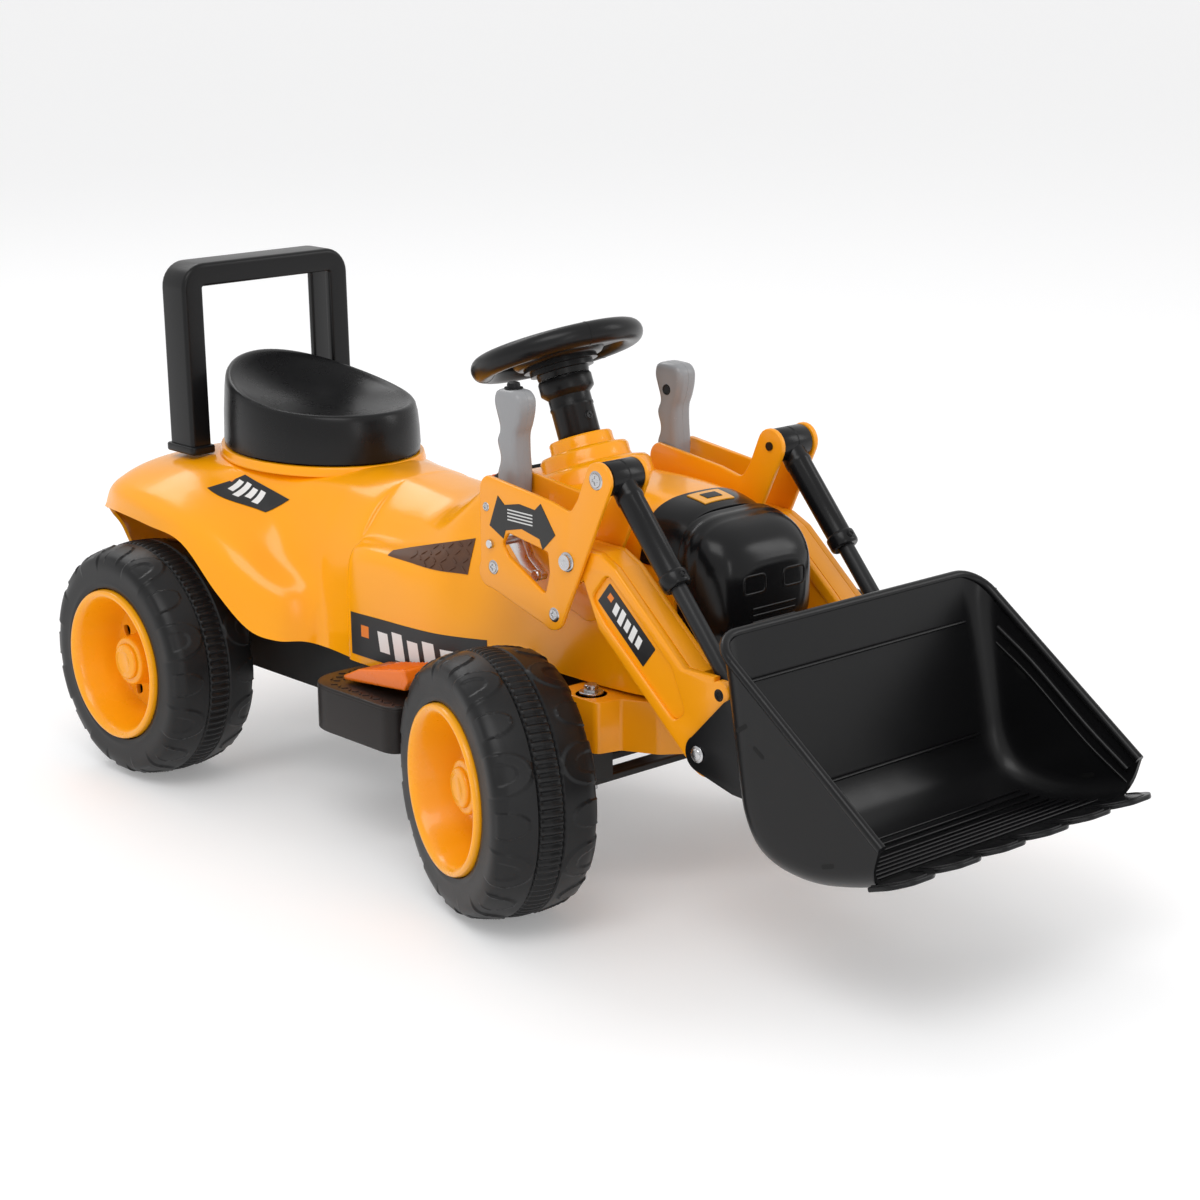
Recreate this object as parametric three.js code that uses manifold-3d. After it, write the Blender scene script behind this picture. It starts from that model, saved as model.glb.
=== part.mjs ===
// Ride-on digger: a battery-driven toy loader that a small child sits on.
// Millimetres, +Z up, nose towards -Y, the driver's right hand at -X.
// The origin lies on the ground under the middle of the vehicle.
// At rest the front wheels are turned a little to the driver's right.
import * as THREE from 'three';
import { mergeVertices } from 'three/addons/utils/BufferGeometryUtils.js';
import Module from 'manifold-3d';

const wasm = await Module();
wasm.setup();

// ---- driving dimensions ----
const wheelRadius = 120;
const tyreWidth = 104;
const tyreWall = 4;
const rimRadius = 77;
const wheelBase = 577;
const rearAxleY = 446;
const rearOuterX = 229;
const kingpinX = 91;
const kingpinToWheelFace = 146;
const restSteer = 16;          // degrees to the driver's right
const axleRadius = 6;
const shellWall = 3.5;
const columnTilt = 22;         // degrees back from upright
const columnLength = 388.6;    // from the steering crank to the wheel's middle
const steeringWheelRadius = 93;
const seatHalfWidth = 90;
const seatHalfLength = 117;
const stepReach = 176;         // outer edge of each foot step
const rollBarX = 104;
const rollBarHeight = 190;
const bucketHalfWidth = 164;
const bucketWall = 4;
const toothPitch = 59.8;
const toothCount = 6;
const armOuterX = 121;
const armWidth = 34;
const armDepth = 56;
const bracketWall = 5;

// ---- clearances ----
const touchGap = 0.4;          // between pieces that are fixed together
const runGap = 1.5;            // between pieces that move past each other
const boreGap = 0.6;           // round a pin or an axle

// ---- places worked out from them ----
const axleZ = wheelRadius;
const frontAxleY = rearAxleY - wheelBase;
const armInnerX = armOuterX - armWidth;
const bracketOuterX = armOuterX + runGap;
const bracketInnerX = armInnerX - runGap;
const cylinderX = armOuterX - 18;
const sides = [['right', -1], ['left', 1]];
const degrees = Math.PI / 180;

// ---- finishes ----
const paint = (color, roughness, metalness = 0) =>
  new THREE.MeshStandardMaterial({ color, roughness, metalness });
const yellow = paint(0xf5a30f, 0.25);
const orange = paint(0xef7d15, 0.3);
const black = paint(0x16171a, 0.3);
const tyreBlack = paint(0x1d1e20, 0.5);
const silver = paint(0xa5a6a8, 0.35, 0.4);
const steel = paint(0x8d9094, 0.3, 1);
const darkSteel = paint(0x25211f, 0.45, 0.7);

const digger = new THREE.Group();

// ---- making solids ----
function clean(geometry) {
  const bare = geometry.index ? geometry.toNonIndexed() : geometry.clone();
  for (const name of Object.keys(bare.attributes)) {
    if (name !== 'position') bare.deleteAttribute(name);
  }
  return mergeVertices(bare, 1e-4);
}

function signedVolume(geometry) {
  const p = geometry.attributes.position;
  const index = geometry.index.array;
  const a = new THREE.Vector3();
  const b = new THREE.Vector3();
  const c = new THREE.Vector3();
  let total = 0;
  for (let i = 0; i < index.length; i += 3) {
    a.fromBufferAttribute(p, index[i]);
    b.fromBufferAttribute(p, index[i + 1]);
    c.fromBufferAttribute(p, index[i + 2]);
    total += a.dot(b.cross(c)) / 6;
  }
  return total;
}

function facingOut(geometry) {
  const solid = clean(geometry);
  if (signedVolume(solid) < 0) {
    const index = solid.index.array;
    for (let i = 0; i < index.length; i += 3) {
      [index[i + 1], index[i + 2]] = [index[i + 2], index[i + 1]];
    }
  }
  return solid;
}

function toManifold(geometry) {
  const solid = facingOut(geometry);
  return new wasm.Manifold(new wasm.Mesh({
    numProp: 3,
    vertProperties: new Float32Array(solid.attributes.position.array),
    triVerts: new Uint32Array(solid.index.array),
  }));
}

function fromManifold(solid) {
  const mesh = solid.getMesh();
  const geometry = new THREE.BufferGeometry();
  geometry.setAttribute('position', new THREE.BufferAttribute(mesh.vertProperties, 3));
  geometry.setIndex(new THREE.BufferAttribute(mesh.triVerts, 1));
  return geometry;
}

function join(first, ...rest) {
  return fromManifold(rest.reduce((sum, g) => sum.add(toManifold(g)), toManifold(first)));
}

function cut(first, ...rest) {
  return fromManifold(rest.reduce((sum, g) => sum.subtract(toManifold(g)), toManifold(first)));
}

function mirrored(geometry) {
  return facingOut(geometry.clone().scale(-1, 1, 1));
}

function piece(name, geometry, material, parent = digger) {
  const mesh = new THREE.Mesh(facingOut(geometry), material);
  mesh.name = name;
  parent.add(mesh);
  return mesh;
}

// ---- basic shapes ----
// A side profile of [y, z] points, extruded across X from x0 to x1.
function plate(profile, x0, x1) {
  const shape = new THREE.Shape(profile.map(([y, z]) => new THREE.Vector2(y, z)));
  const geometry = new THREE.ExtrudeGeometry(shape, {
    depth: Math.abs(x1 - x0), bevelEnabled: false, curveSegments: 8,
  });
  const turn = new THREE.Matrix4().makeBasis(
    new THREE.Vector3(0, 1, 0), new THREE.Vector3(0, 0, 1), new THREE.Vector3(1, 0, 0));
  return geometry.applyMatrix4(turn).translate(Math.min(x0, x1), 0, 0);
}

// A plan outline of [x, y] points, extruded upward from z0 to z1.
function slab(outline, z0, z1) {
  const shape = new THREE.Shape(outline.map(([x, y]) => new THREE.Vector2(x, y)));
  return new THREE.ExtrudeGeometry(shape, { depth: z1 - z0, bevelEnabled: false })
    .translate(0, 0, z0);
}

function block(x0, x1, y0, y1, z0, z1) {
  return new THREE.BoxGeometry(Math.abs(x1 - x0), Math.abs(y1 - y0), Math.abs(z1 - z0))
    .translate((x0 + x1) / 2, (y0 + y1) / 2, (z0 + z1) / 2);
}

// A turned piece about the X axis; the profile is [radius, x] points.
// It is set so that a flat facet, not an edge, faces the ground.
function turned(profile, segments, y = 0, z = 0) {
  const points = profile.map(([r, x]) => new THREE.Vector2(r, x));
  return new THREE.LatheGeometry(points, segments, Math.PI / segments)
    .rotateZ(-Math.PI / 2).translate(0, y, z);
}

function rodX(radius, x0, x1, y, z, segments = 16) {
  return new THREE.CylinderGeometry(radius, radius, Math.abs(x1 - x0), segments)
    .rotateZ(Math.PI / 2).translate((x0 + x1) / 2, y, z);
}

function rodZ(radius, x, y, z0, z1, segments = 16) {
  return new THREE.CylinderGeometry(radius, radius, z1 - z0, segments)
    .rotateX(Math.PI / 2).translate(x, y, (z0 + z1) / 2);
}

// Points of an arc from angle a0 to a1 in degrees.
function arc(cy, cz, radius, a0, a1, steps) {
  return Array.from({ length: steps + 1 }, (_, i) => {
    const a = (a0 + (a1 - a0) * i / steps) * degrees;
    return [cy + radius * Math.cos(a), cz + radius * Math.sin(a)];
  });
}

// A skin through rows of points, given a thickness to its back: a closed thin wall.
function skin(rows, wall) {
  const columns = rows[0].length;
  const at = (i, j) => rows[Math.max(0, Math.min(rows.length - 1, i))][Math.max(0, Math.min(columns - 1, j))];
  const outer = [];
  const inner = [];
  for (let i = 0; i < rows.length; i += 1) {
    for (let j = 0; j < columns; j += 1) {
      const along = at(i + 1, j).clone().sub(at(i - 1, j));
      const across = at(i, j + 1).clone().sub(at(i, j - 1));
      const normal = along.cross(across).normalize();
      outer.push(at(i, j).clone());
      inner.push(at(i, j).clone().addScaledVector(normal, -wall));
    }
  }
  const all = [...outer, ...inner];
  const index = [];
  const quad = (a, b, c, d) => index.push(a, b, c, a, c, d);
  const back = outer.length;
  const id = (i, j) => i * columns + j;
  for (let i = 0; i + 1 < rows.length; i += 1) {
    for (let j = 0; j + 1 < columns; j += 1) {
      quad(id(i, j), id(i, j + 1), id(i + 1, j + 1), id(i + 1, j));
      quad(back + id(i, j), back + id(i + 1, j), back + id(i + 1, j + 1), back + id(i, j + 1));
    }
  }
  for (let i = 0; i + 1 < rows.length; i += 1) {
    quad(id(i, 0), id(i + 1, 0), back + id(i + 1, 0), back + id(i, 0));
    quad(id(i + 1, columns - 1), id(i, columns - 1), back + id(i, columns - 1), back + id(i + 1, columns - 1));
  }
  for (let j = 0; j + 1 < columns; j += 1) {
    quad(id(0, j + 1), id(0, j), back + id(0, j), back + id(0, j + 1));
    quad(id(rows.length - 1, j), id(rows.length - 1, j + 1), back + id(rows.length - 1, j + 1), back + id(rows.length - 1, j));
  }
  const geometry = new THREE.BufferGeometry();
  geometry.setAttribute('position', new THREE.Float32BufferAttribute(all.flatMap(v => [v.x, v.y, v.z]), 3));
  geometry.setIndex(index);
  return geometry;
}

// Rings of points joined into a closed body with flat ends.
function loft(rings) {
  const points = rings.flat();
  const count = rings[0].length;
  const index = [];
  for (let i = 0; i + 1 < rings.length; i += 1) {
    for (let j = 0; j < count; j += 1) {
      const a = i * count + j;
      const b = i * count + (j + 1) % count;
      index.push(a, b, b + count, a, b + count, a + count);
    }
  }
  const last = (rings.length - 1) * count;
  for (let j = 1; j + 1 < count; j += 1) {
    index.push(0, j + 1, j);
    index.push(last, last + j, last + j + 1);
  }
  const geometry = new THREE.BufferGeometry();
  geometry.setAttribute('position', new THREE.Float32BufferAttribute(points.flatMap(v => [v.x, v.y, v.z]), 3));
  geometry.setIndex(index);
  return geometry;
}

// ---- pivots of the loader, as [y, z] ----
const pinRadius = 4;
const armPivot = [frontAxleY - 11, axleZ + 197];
const cylinderPivot = [armPivot[0] - 40, armPivot[1] + 78];
const bucketPivot = [armPivot[0] - 163, armPivot[1] - 136];
const leverPivot = [armPivot[0] + 103, armPivot[1] - 2];
const rodPin = [armPivot[0] - 181, armPivot[1] - 82];

// ---- body shell ----
// Half cross-sections from the middle of the top down to the lower edge, as [x, height
// above the axles]; the whole skin is one moulding with the fenders flared over the wheels.
const rearArchEnd = rearAxleY - 146;
const frontArchEnd = frontAxleY + 176;
const fromRear = d => rearAxleY + d;
const fromFront = d => frontAxleY + d;
const between = t => rearArchEnd + (frontArchEnd - rearArchEnd) * t;
const bodyNose = fromFront(-82);
const bodySections = [
  [fromRear(110), [[0, 50], [45, 50], [85, 52], [112, 60], [128, 85], [140, 112], [150, 126]]],
  [fromRear(115), [[0, 105], [45, 105], [85, 106], [112, 112], [130, 123], [143, 130], [153, 134]]],
  [fromRear(112), [[0, 162], [45, 162], [85, 161], [113, 158], [135, 152], [150, 144], [158, 136]]],
  [fromRear(99), [[0, 183], [45, 183], [85, 181], [115, 177], [140, 169], [157, 158], [163, 137]]],
  [fromRear(64), [[0, 192], [45, 192], [88, 190], [120, 184], [146, 175], [166, 162], [171, 139]]],
  [fromRear(4), [[0, 197], [45, 197], [90, 193], [122, 185], [150, 172], [170, 156], [175, 136]]],
  [fromRear(-56), [[0, 198], [45, 198], [86, 193], [106, 177], [136, 166], [164, 150], [175, 128]]],
  [fromRear(-106), [[0, 199], [44, 199], [80, 190], [99, 160], [124, 143], [156, 124], [170, 86]]],
  [fromRear(-140), [[0, 200], [41, 199], [77, 187], [95, 146], [114, 116], [145, 98], [157, 52]]],
  [fromRear(-165), [[0, 201], [38, 200], [72, 185], [92, 144], [104, 104], [130, 80], [141, 42]]],
  [between(0.137), [[0, 202], [36, 200], [69, 184], [90, 146], [99, 104], [112, 62], [118, 40]]],
  [between(0.19), [[0, 202], [35, 200], [67, 183], [89, 146], [98, 106], [101, 66], [102, 34]]],
  [between(0.34), [[0, 202], [34, 198], [64, 181], [88, 148], [98, 118], [101, 76], [102, 32]]],
  [between(0.385), [[0, 201], [33, 197], [60, 178], [82, 153], [101, 142], [107, 112], [107, 32]]],
  [between(0.588), [[0, 198], [34, 194], [62, 178], [80, 156], [102, 145], [107, 116], [107, 32]]],
  [between(0.745), [[0, 198], [36, 194], [66, 180], [82, 160], [101, 145], [107, 112], [107, 32]]],
  [between(0.882), [[0, 214], [38, 212], [68, 198], [82, 170], [99, 147], [105, 100], [105, 32]]],
  [between(1), [[0, 232], [40, 230], [66, 218], [76, 180], [88, 142], [97, 94], [98, 46]]],
  [fromFront(141), [[0, 240], [40, 238], [66, 226], [76, 184], [80, 142], [84, 100], [84, 60]]],
  [fromFront(111), [[0, 243], [40, 242], [66, 229], [76, 190], [77, 142], [77, 102], [77, 70]]],
  [fromFront(71), [[0, 244], [40, 243], [66, 230], [76, 192], [77, 142], [77, 102], [76, 71]]],
  [fromFront(11), [[0, 246], [38, 244], [63, 230], [76, 190], [77, 142], [76, 105], [75, 71]]],
  [fromFront(-39), [[0, 244], [36, 241], [58, 227], [70, 188], [73, 142], [73, 105], [72, 72]]],
  [fromFront(-74), [[0, 238], [33, 234], [52, 220], [63, 184], [66, 142], [67, 108], [66, 74]]],
  [fromFront(-79), [[0, 225], [32, 222], [50, 210], [61, 178], [64, 140], [64, 106], [63, 76]]],
  [fromFront(-81), [[0, 150], [32, 149], [50, 147], [60, 140], [63, 125], [63, 100], [62, 74]]],
  [bodyNose, [[0, 80], [32, 80], [48, 79], [57, 78], [60, 77], [61, 75], [61, 73]]],
];
// The hood fits between the brackets and inside the kingpins; behind the front arch the skin
// widens back to its own width.
const hoodHalf = Math.min(kingpinX - 14, bracketInnerX - bracketWall - 3.5);
const hoodShare = hoodHalf / 77;
const hoodBlend = y => {
  const t = Math.min(1, Math.max(0, (between(0.385) - y) / (between(0.385) - fromFront(141))));
  return 1 + (hoodShare - 1) * t;
};
const bodyRows = bodySections.map(([y, half]) => {
  const share = hoodBlend(y);
  const right = half.slice(1).reverse().map(([x, h]) => new THREE.Vector3(-x * share, y, axleZ + h));
  const left = half.map(([x, h]) => new THREE.Vector3(x * share, y, axleZ + h));
  return [...right, ...left];
});
let bodyGeometry = skin(bodyRows, shellWall);

// The stepped boss that carries the steering column, square to the column.
const columnFoot = new THREE.Vector3(0, frontAxleY, axleZ - 13);
const columnDirection = new THREE.Vector3(0, Math.sin(columnTilt * degrees), Math.cos(columnTilt * degrees));
const onColumn = t => columnFoot.clone().addScaledVector(columnDirection, t);
function columnRod(profile, segments) {
  const points = profile.map(([r, t]) => new THREE.Vector2(r, t));
  return new THREE.LatheGeometry(points, segments)
    .rotateX(Math.PI / 2 - columnTilt * degrees).translate(columnFoot.x, columnFoot.y, columnFoot.z);
}
const bossTop = 306;           // distances up the column
const bossMid = 292;
const bossFoot = 240;
const columnShaftRadius = 7;
const boss = columnRod([[0, bossFoot], [58, bossFoot], [58, bossMid - 18], [42, bossMid - 14],
  [42, bossMid], [30, bossMid + 2], [30, bossTop], [0, bossTop]], 24);
const shaftBore = columnRod([[0, 0], [columnShaftRadius + boreGap, 0],
  [columnShaftRadius + boreGap, columnLength], [0, columnLength]], 16);
bodyGeometry = cut(join(bodyGeometry, boss), shaftBore,
  rodX(pinRadius + boreGap, -100, 100, ...armPivot, 12));
piece('body_shell', bodyGeometry, yellow);

// ---- nose grille ----
// A black moulded cap fixed to the front wall of the shell, open towards the shell.
function noseRing(y, halfWidth, low, high) {
  const middle = axleZ + (low + high) / 2;
  const halfHeight = (high - low) / 2;
  return Array.from({ length: 24 }, (_, i) => {
    const a = i / 24 * 2 * Math.PI;
    const c = Math.cos(a);
    const s = Math.sin(a);
    const square = 0.55;
    return new THREE.Vector3(
      halfWidth * Math.sign(c) * Math.abs(c) ** square, y,
      middle + halfHeight * Math.sign(s) * Math.abs(s) ** square);
  });
}
const noseBack = bodyNose - touchGap - 0.6;
const noseFront = fromFront(-137);
const noseDepth = noseBack - noseFront;
const noseOuter = [[0, 65, 116, 237], [0.4, 63, 118, 233], [0.78, 55, 126, 220], [1, 40, 142, 200]]
  .map(([t, w, low, high]) => noseRing(noseBack - noseDepth * t, w * hoodShare, low, high));
const noseInner = [[-0.1, 61, 120, 233], [0.4, 59, 122, 229], [0.75, 50, 131, 214], [0.92, 36, 146, 196]]
  .map(([t, w, low, high]) => noseRing(noseBack - noseDepth * t, w * hoodShare, low, high));
piece('nose_grille', cut(loft(noseOuter), loft(noseInner)), black);

// ---- underbody tray ----
// The black floor pan under the shell: it carries the battery, the gearbox and the axle.
const trayHalf = 95;
const trayTongueHalf = 66;
const trayLow = axleZ - 15;
const trayHigh = axleZ + 30;
const trayRear = fromRear(60);
const trayFront = frontArchEnd + 8;
const tongueFront = fromFront(45);
const trayFloor = 4;
const trayOuter = join(
  block(-trayHalf, trayHalf, trayFront, trayRear, trayLow, trayHigh),
  block(-trayTongueHalf, trayTongueHalf, tongueFront, trayFront + 10, trayLow + 36, trayHigh));
const trayHollow = block(-trayHalf + trayFloor, trayHalf - trayFloor, trayFront + trayFloor,
  trayRear - trayFloor, trayLow + trayFloor, trayHigh + 10);
const tongueHollow = block(-trayTongueHalf + trayFloor, trayTongueHalf - trayFloor, tongueFront + trayFloor,
  trayFront + 2 * trayFloor, trayLow + 36 + trayFloor, trayHigh + 10);
piece('underbody_tray', cut(trayOuter, trayHollow, tongueHollow,
  rodX(axleRadius + boreGap, -trayHalf - 5, trayHalf + 5, rearAxleY, axleZ)), black);

// ---- foot steps ----
const stepFront = frontArchEnd + 3;
const stepRear = rearArchEnd - 112;
const stepTop = axleZ + 30;
const stepLow = axleZ - 15;
const stepInner = trayHalf + touchGap;
function stepOutline() {
  const cornerRear = 44;
  const cornerFront = 20;
  const rear = arc(stepReach - cornerRear, stepRear - cornerRear, cornerRear, 90, 0, 6);
  const front = arc(stepReach - cornerFront, stepFront + cornerFront, cornerFront, 0, -90, 4);
  return [[stepInner, stepRear], ...rear, ...front, [stepInner, stepFront]];
}
for (const [side, sign] of sides) {
  const step = cut(slab(stepOutline(), stepLow, stepTop),
    slab(stepOutline().map(([x, y]) => [
      stepInner + 5 + (x - stepInner) * (stepReach - stepInner - 10) / (stepReach - stepInner),
      (stepFront + stepRear) / 2 + (y - (stepFront + stepRear) / 2) * 0.93]), stepLow - 1, stepTop - 4));
  piece(`foot_step_${side}`, sign > 0 ? step : mirrored(step), black);
}

// ---- seat ----
// Hard moulded saddle, hollow underneath, with a raised back.
const seatY = rearAxleY - 60;
const seatBase = axleZ + 202 + touchGap + 0.6;
function seatRows(shrink, drop) {
  const rings = [1, 1.01, 0.985, 0.93, 0.82, 0.62, 0.35];
  const lift = [0, 14, 26, null, null, null, null];
  return rings.map((ring, k) => Array.from({ length: 24 }, (_, i) => {
    const a = i / 24 * 2 * Math.PI;
    const u = Math.cos(a) * ring;
    const v = Math.sin(a) * ring;
    const back = Math.max(0, v);
    const top = 62 + 66 * back * back - 10 * (1 - ring * ring) * (1 - back);
    const edge = 26 + (top - 26) * (1 - ((ring - 0.35) / 0.65) ** 4);
    const h = lift[k] === null ? edge : lift[k];
    return new THREE.Vector3(u * (seatHalfWidth - shrink), seatY + v * (seatHalfLength - shrink),
      seatBase + Math.max(k === 0 ? -drop : 0, h - (k === 0 ? drop : shrink)));
  }));
}
piece('seat', cut(loft(seatRows(0, 0)), loft(seatRows(4, 2))), black);

// ---- roll bar ----
// One black box-section hoop behind the seat, leaning back slightly on two flanged feet.
const rollBarBase = axleZ + 195;
const rollBarFootY = rearAxleY + 44;
const rollBarLean = 4;
const rollBarThick = 24;
const rollBarDeep = 42;
const rollBarCorner = 26;
function rollBarOutline(offset) {
  const x = rollBarX - offset;
  const top = rollBarHeight - offset;
  const r = Math.max(4, rollBarCorner - offset);
  return [[x, 0], ...arc(x - r, top - r, r, 0, 90, 5), ...arc(-x + r, top - r, r, 90, 180, 5), [-x, 0]];
}
const hoop = cut(slab(rollBarOutline(0), 0, rollBarDeep),
  slab([[-rollBarX + rollBarThick, -5], ...rollBarOutline(rollBarThick).slice(1, -1).reverse(),
    [rollBarX - rollBarThick, -5]].reverse(), -5, rollBarDeep + 5));
const hoopPlaced = hoop.clone().applyMatrix4(new THREE.Matrix4().makeBasis(
  new THREE.Vector3(1, 0, 0), new THREE.Vector3(0, rollBarLean / rollBarHeight, 1), new THREE.Vector3(0, -1, 0)))
  .translate(0, rollBarFootY + rollBarDeep / 2, rollBarBase + 6);
const rollFeet = sides.map(([, sign]) => block(sign * (rollBarX - rollBarThick - 3), sign * (rollBarX + 3),
  rollBarFootY - rollBarDeep / 2 - 4, rollBarFootY + rollBarDeep / 2 + 4, rollBarBase, rollBarBase + 7));
piece('roll_bar', join(hoopPlaced, ...rollFeet), black);

// ---- front beam, kingpins and lower strap ----
const beamTop = axleZ + 68;
const beamLow = axleZ + 20;
const kingpinRadius = 5;
const beamHalf = kingpinX + 16;
const beamRear = frontAxleY + 33;
const beamFrontEnd = frontAxleY - 24;
const beamBow = frontAxleY - 90;
function beamOutline() {
  const half = [[beamHalf, beamRear], [beamHalf, beamFrontEnd], [kingpinX - 8, beamFrontEnd - 6],
    [kingpinX - 24, frontAxleY - 62], [kingpinX - 50, beamBow + 8]];
  const other = half.map(([x, y]) => [-x, y]).reverse();
  return [...half, [0, beamBow], ...other];
}
const beamWall = 5;
const beamHollow = slab(beamOutline().map(([x, y]) => [x * 0.72, frontAxleY - 28 + (y - frontAxleY + 28) * 0.86]),
  beamLow - 5, beamTop - beamWall);
const kingpinBores = sides.map(([, sign]) =>
  rodZ(kingpinRadius + boreGap, sign * kingpinX, frontAxleY, beamLow - 5, beamTop + 5));
const shaftPassage = columnRod([[0, 0], [columnShaftRadius + 6, 0], [columnShaftRadius + 6, 140], [0, 140]], 16);
piece('front_beam', cut(slab(beamOutline(), beamLow, beamTop), beamHollow, ...kingpinBores, shaftPassage), yellow);

const strapTop = axleZ - 9;
const strapLow = axleZ - 15;
piece('axle_strap', cut(
  slab([[kingpinX + 11, frontAxleY + 10], [-kingpinX - 11, frontAxleY + 10],
    [-kingpinX - 11, frontAxleY - 10], [kingpinX + 11, frontAxleY - 10]], strapLow, strapTop),
  ...sides.map(([, sign]) => rodZ(kingpinRadius + boreGap, sign * kingpinX, frontAxleY, strapLow - 5, strapTop + 5)),
), darkSteel);

for (const [side, sign] of sides) {
  piece(`kingpin_${side}`, join(
    rodZ(kingpinRadius, sign * kingpinX, frontAxleY, strapLow - 6, beamTop + 4),
    rodZ(11, sign * kingpinX, frontAxleY, beamTop + touchGap, beamTop + touchGap + 2.4, 20),
    rodZ(6.5, sign * kingpinX, frontAxleY, beamTop + 2, beamTop + 9, 6)), steel);
}

// ---- steering: knuckles, tie rod, shaft and wheel ----
const knuckleTop = beamLow - 1;
const knuckleLow = strapTop + 1;
const steerArm = 42;
const stubEnd = kingpinToWheelFace - 34;
const steerArmTop = axleZ - 1;
const tieRodTop = steerArmTop - 8;
const knuckleGroups = {};
for (const [side, sign] of sides) {
  const group = new THREE.Group();
  group.position.set(sign * kingpinX, frontAxleY, 0);
  group.rotation.z = -restSteer * degrees;
  digger.add(group);
  knuckleGroups[side] = group;
  const body = cut(
    join(
      block(-14, 14, -14, 14, knuckleLow, knuckleTop),
      rodX(axleRadius, 0, sign * stubEnd, 0, axleZ, 16),
      rodX(8, sign * 10, sign * 30, 0, axleZ, 16),
      block(-7, 7, 0, steerArm + 8, steerArmTop - 6, steerArmTop)),
    rodZ(kingpinRadius + boreGap, 0, 0, knuckleLow - 5, knuckleTop + 5),
    rodZ(3.6, 0, steerArm, steerArmTop - 12, steerArmTop + 6, 12));
  piece(`steering_knuckle_${side}`, body, darkSteel, group);
}
const tieShift = steerArm * Math.sin(restSteer * degrees);
const tieY = frontAxleY + steerArm * Math.cos(restSteer * degrees);
const crankPinY = tieY;
piece('tie_rod', join(
  block(tieShift - kingpinX - 8, tieShift + kingpinX + 8, tieY - 6, tieY + 6, tieRodTop - 6, tieRodTop - 0.6),
  ...sides.map(([, sign]) => rodZ(3, tieShift + sign * kingpinX, tieY, tieRodTop - 2, steerArmTop + 3, 12)),
  rodZ(3, tieShift, crankPinY, tieRodTop - 2, axleZ + 8, 12)), darkSteel);

// The shaft turns in the tilted column; its crank reaches back to the tie rod's pin.
const steering = new THREE.Group();
steering.position.copy(columnFoot);
steering.quaternion.setFromEuler(new THREE.Euler(-columnTilt * degrees, 0, 0))
  .multiply(new THREE.Quaternion().setFromAxisAngle(new THREE.Vector3(0, 0, 1), -restSteer * degrees));
digger.add(steering);
const crankLow = 24;
const crankReach = 40;
const shaftTop = columnLength - 30;
const crank = cut(block(-9, 9, -9, crankReach, crankLow, crankLow + 5),
  block(-6.4, 6.4, 22, crankReach + 10, crankLow - 5, crankLow + 12));
piece('steering_shaft', join(rodZ(columnShaftRadius, 0, 0, crankLow, shaftTop, 16), crank), steel, steering);

const sleeveLow = bossTop + 1;
const sleeveStep = columnLength - 42;
const sleeveTop = columnLength - 14;
const lathe = (profile, segments) =>
  new THREE.LatheGeometry(profile.map(([r, z]) => new THREE.Vector2(r, z)), segments).rotateX(Math.PI / 2);
piece('column_sleeve', lathe([[columnShaftRadius + touchGap, sleeveLow], [20, sleeveLow], [20, sleeveStep],
  [25, sleeveStep + 3], [25, sleeveTop - 12], [columnShaftRadius + touchGap, sleeveTop - 12],
  [columnShaftRadius + touchGap, sleeveLow]], 24), black, steering);

const rimTube = 11;
const gripRing = new THREE.TorusGeometry(steeringWheelRadius - rimTube, rimTube, 8, 32)
  .translate(0, 0, columnLength);
const hubPlate = lathe([[0, columnLength - 25], [34, columnLength - 25], [44, columnLength - 8],
  [44, columnLength + 2], [36, columnLength + 7], [0, columnLength + 7]], 24);
const spokes = [90, 210, 330].map(a => {
  const spoke = block(36, steeringWheelRadius - rimTube, -15, 15, columnLength - 6, columnLength + 3);
  return spoke.rotateZ(a * degrees);
});
const hornWell = block(-16, 16, -11, 11, columnLength + 1, columnLength + 12);
piece('steering_wheel', cut(join(gripRing, hubPlate, ...spokes), hornWell,
  rodZ(columnShaftRadius + touchGap, 0, 0, columnLength - 40, shaftTop + 2, 16)), black, steering);
piece('horn_button', block(-15, 15, -10, 10, columnLength + 4, columnLength + 10), orange, steering);

// ---- wheels ----
// Each wheel is a hollow moulded tyre on a deep dished rim with a cap over the axle end.
// Profiles are [radius, distance in from the outer face].
const hubDepth = 34;
const tyreFacets = 32;
const treadRadius = wheelRadius / Math.cos(Math.PI / tyreFacets);   // flats touch the ground
const tyreProfile = [
  [rimRadius + touchGap, 3], [wheelRadius - 14, 3], [wheelRadius - 3, 16], [treadRadius, 34],
  [treadRadius, tyreWidth - 34], [wheelRadius - 3, tyreWidth - 16], [wheelRadius - 14, tyreWidth - 3],
  [rimRadius + touchGap, tyreWidth - 3], [rimRadius + touchGap, tyreWidth - 3 - tyreWall],
  [wheelRadius - 16 - tyreWall, tyreWidth - 3 - tyreWall], [wheelRadius - 2 - tyreWall, tyreWidth - 34],
  [wheelRadius - 2 - tyreWall, 34], [wheelRadius - 16 - tyreWall, 3 + tyreWall],
  [rimRadius + touchGap, 3 + tyreWall], [rimRadius + touchGap, 3]];
const rimProfile = bore => [
  [bore, hubDepth - 14], [20, hubDepth - 14], [24, hubDepth + 6], [54, hubDepth + 10],
  [66, 8], [rimRadius - 3, -2], [rimRadius, 3], [rimRadius, tyreWidth - 6], [rimRadius - 4, tyreWidth - 6],
  [rimRadius - 5, hubDepth + 14], [22, hubDepth + 16], [20, tyreWidth - 2], [bore, tyreWidth - 2],
  [bore, hubDepth - 14]];
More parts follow.
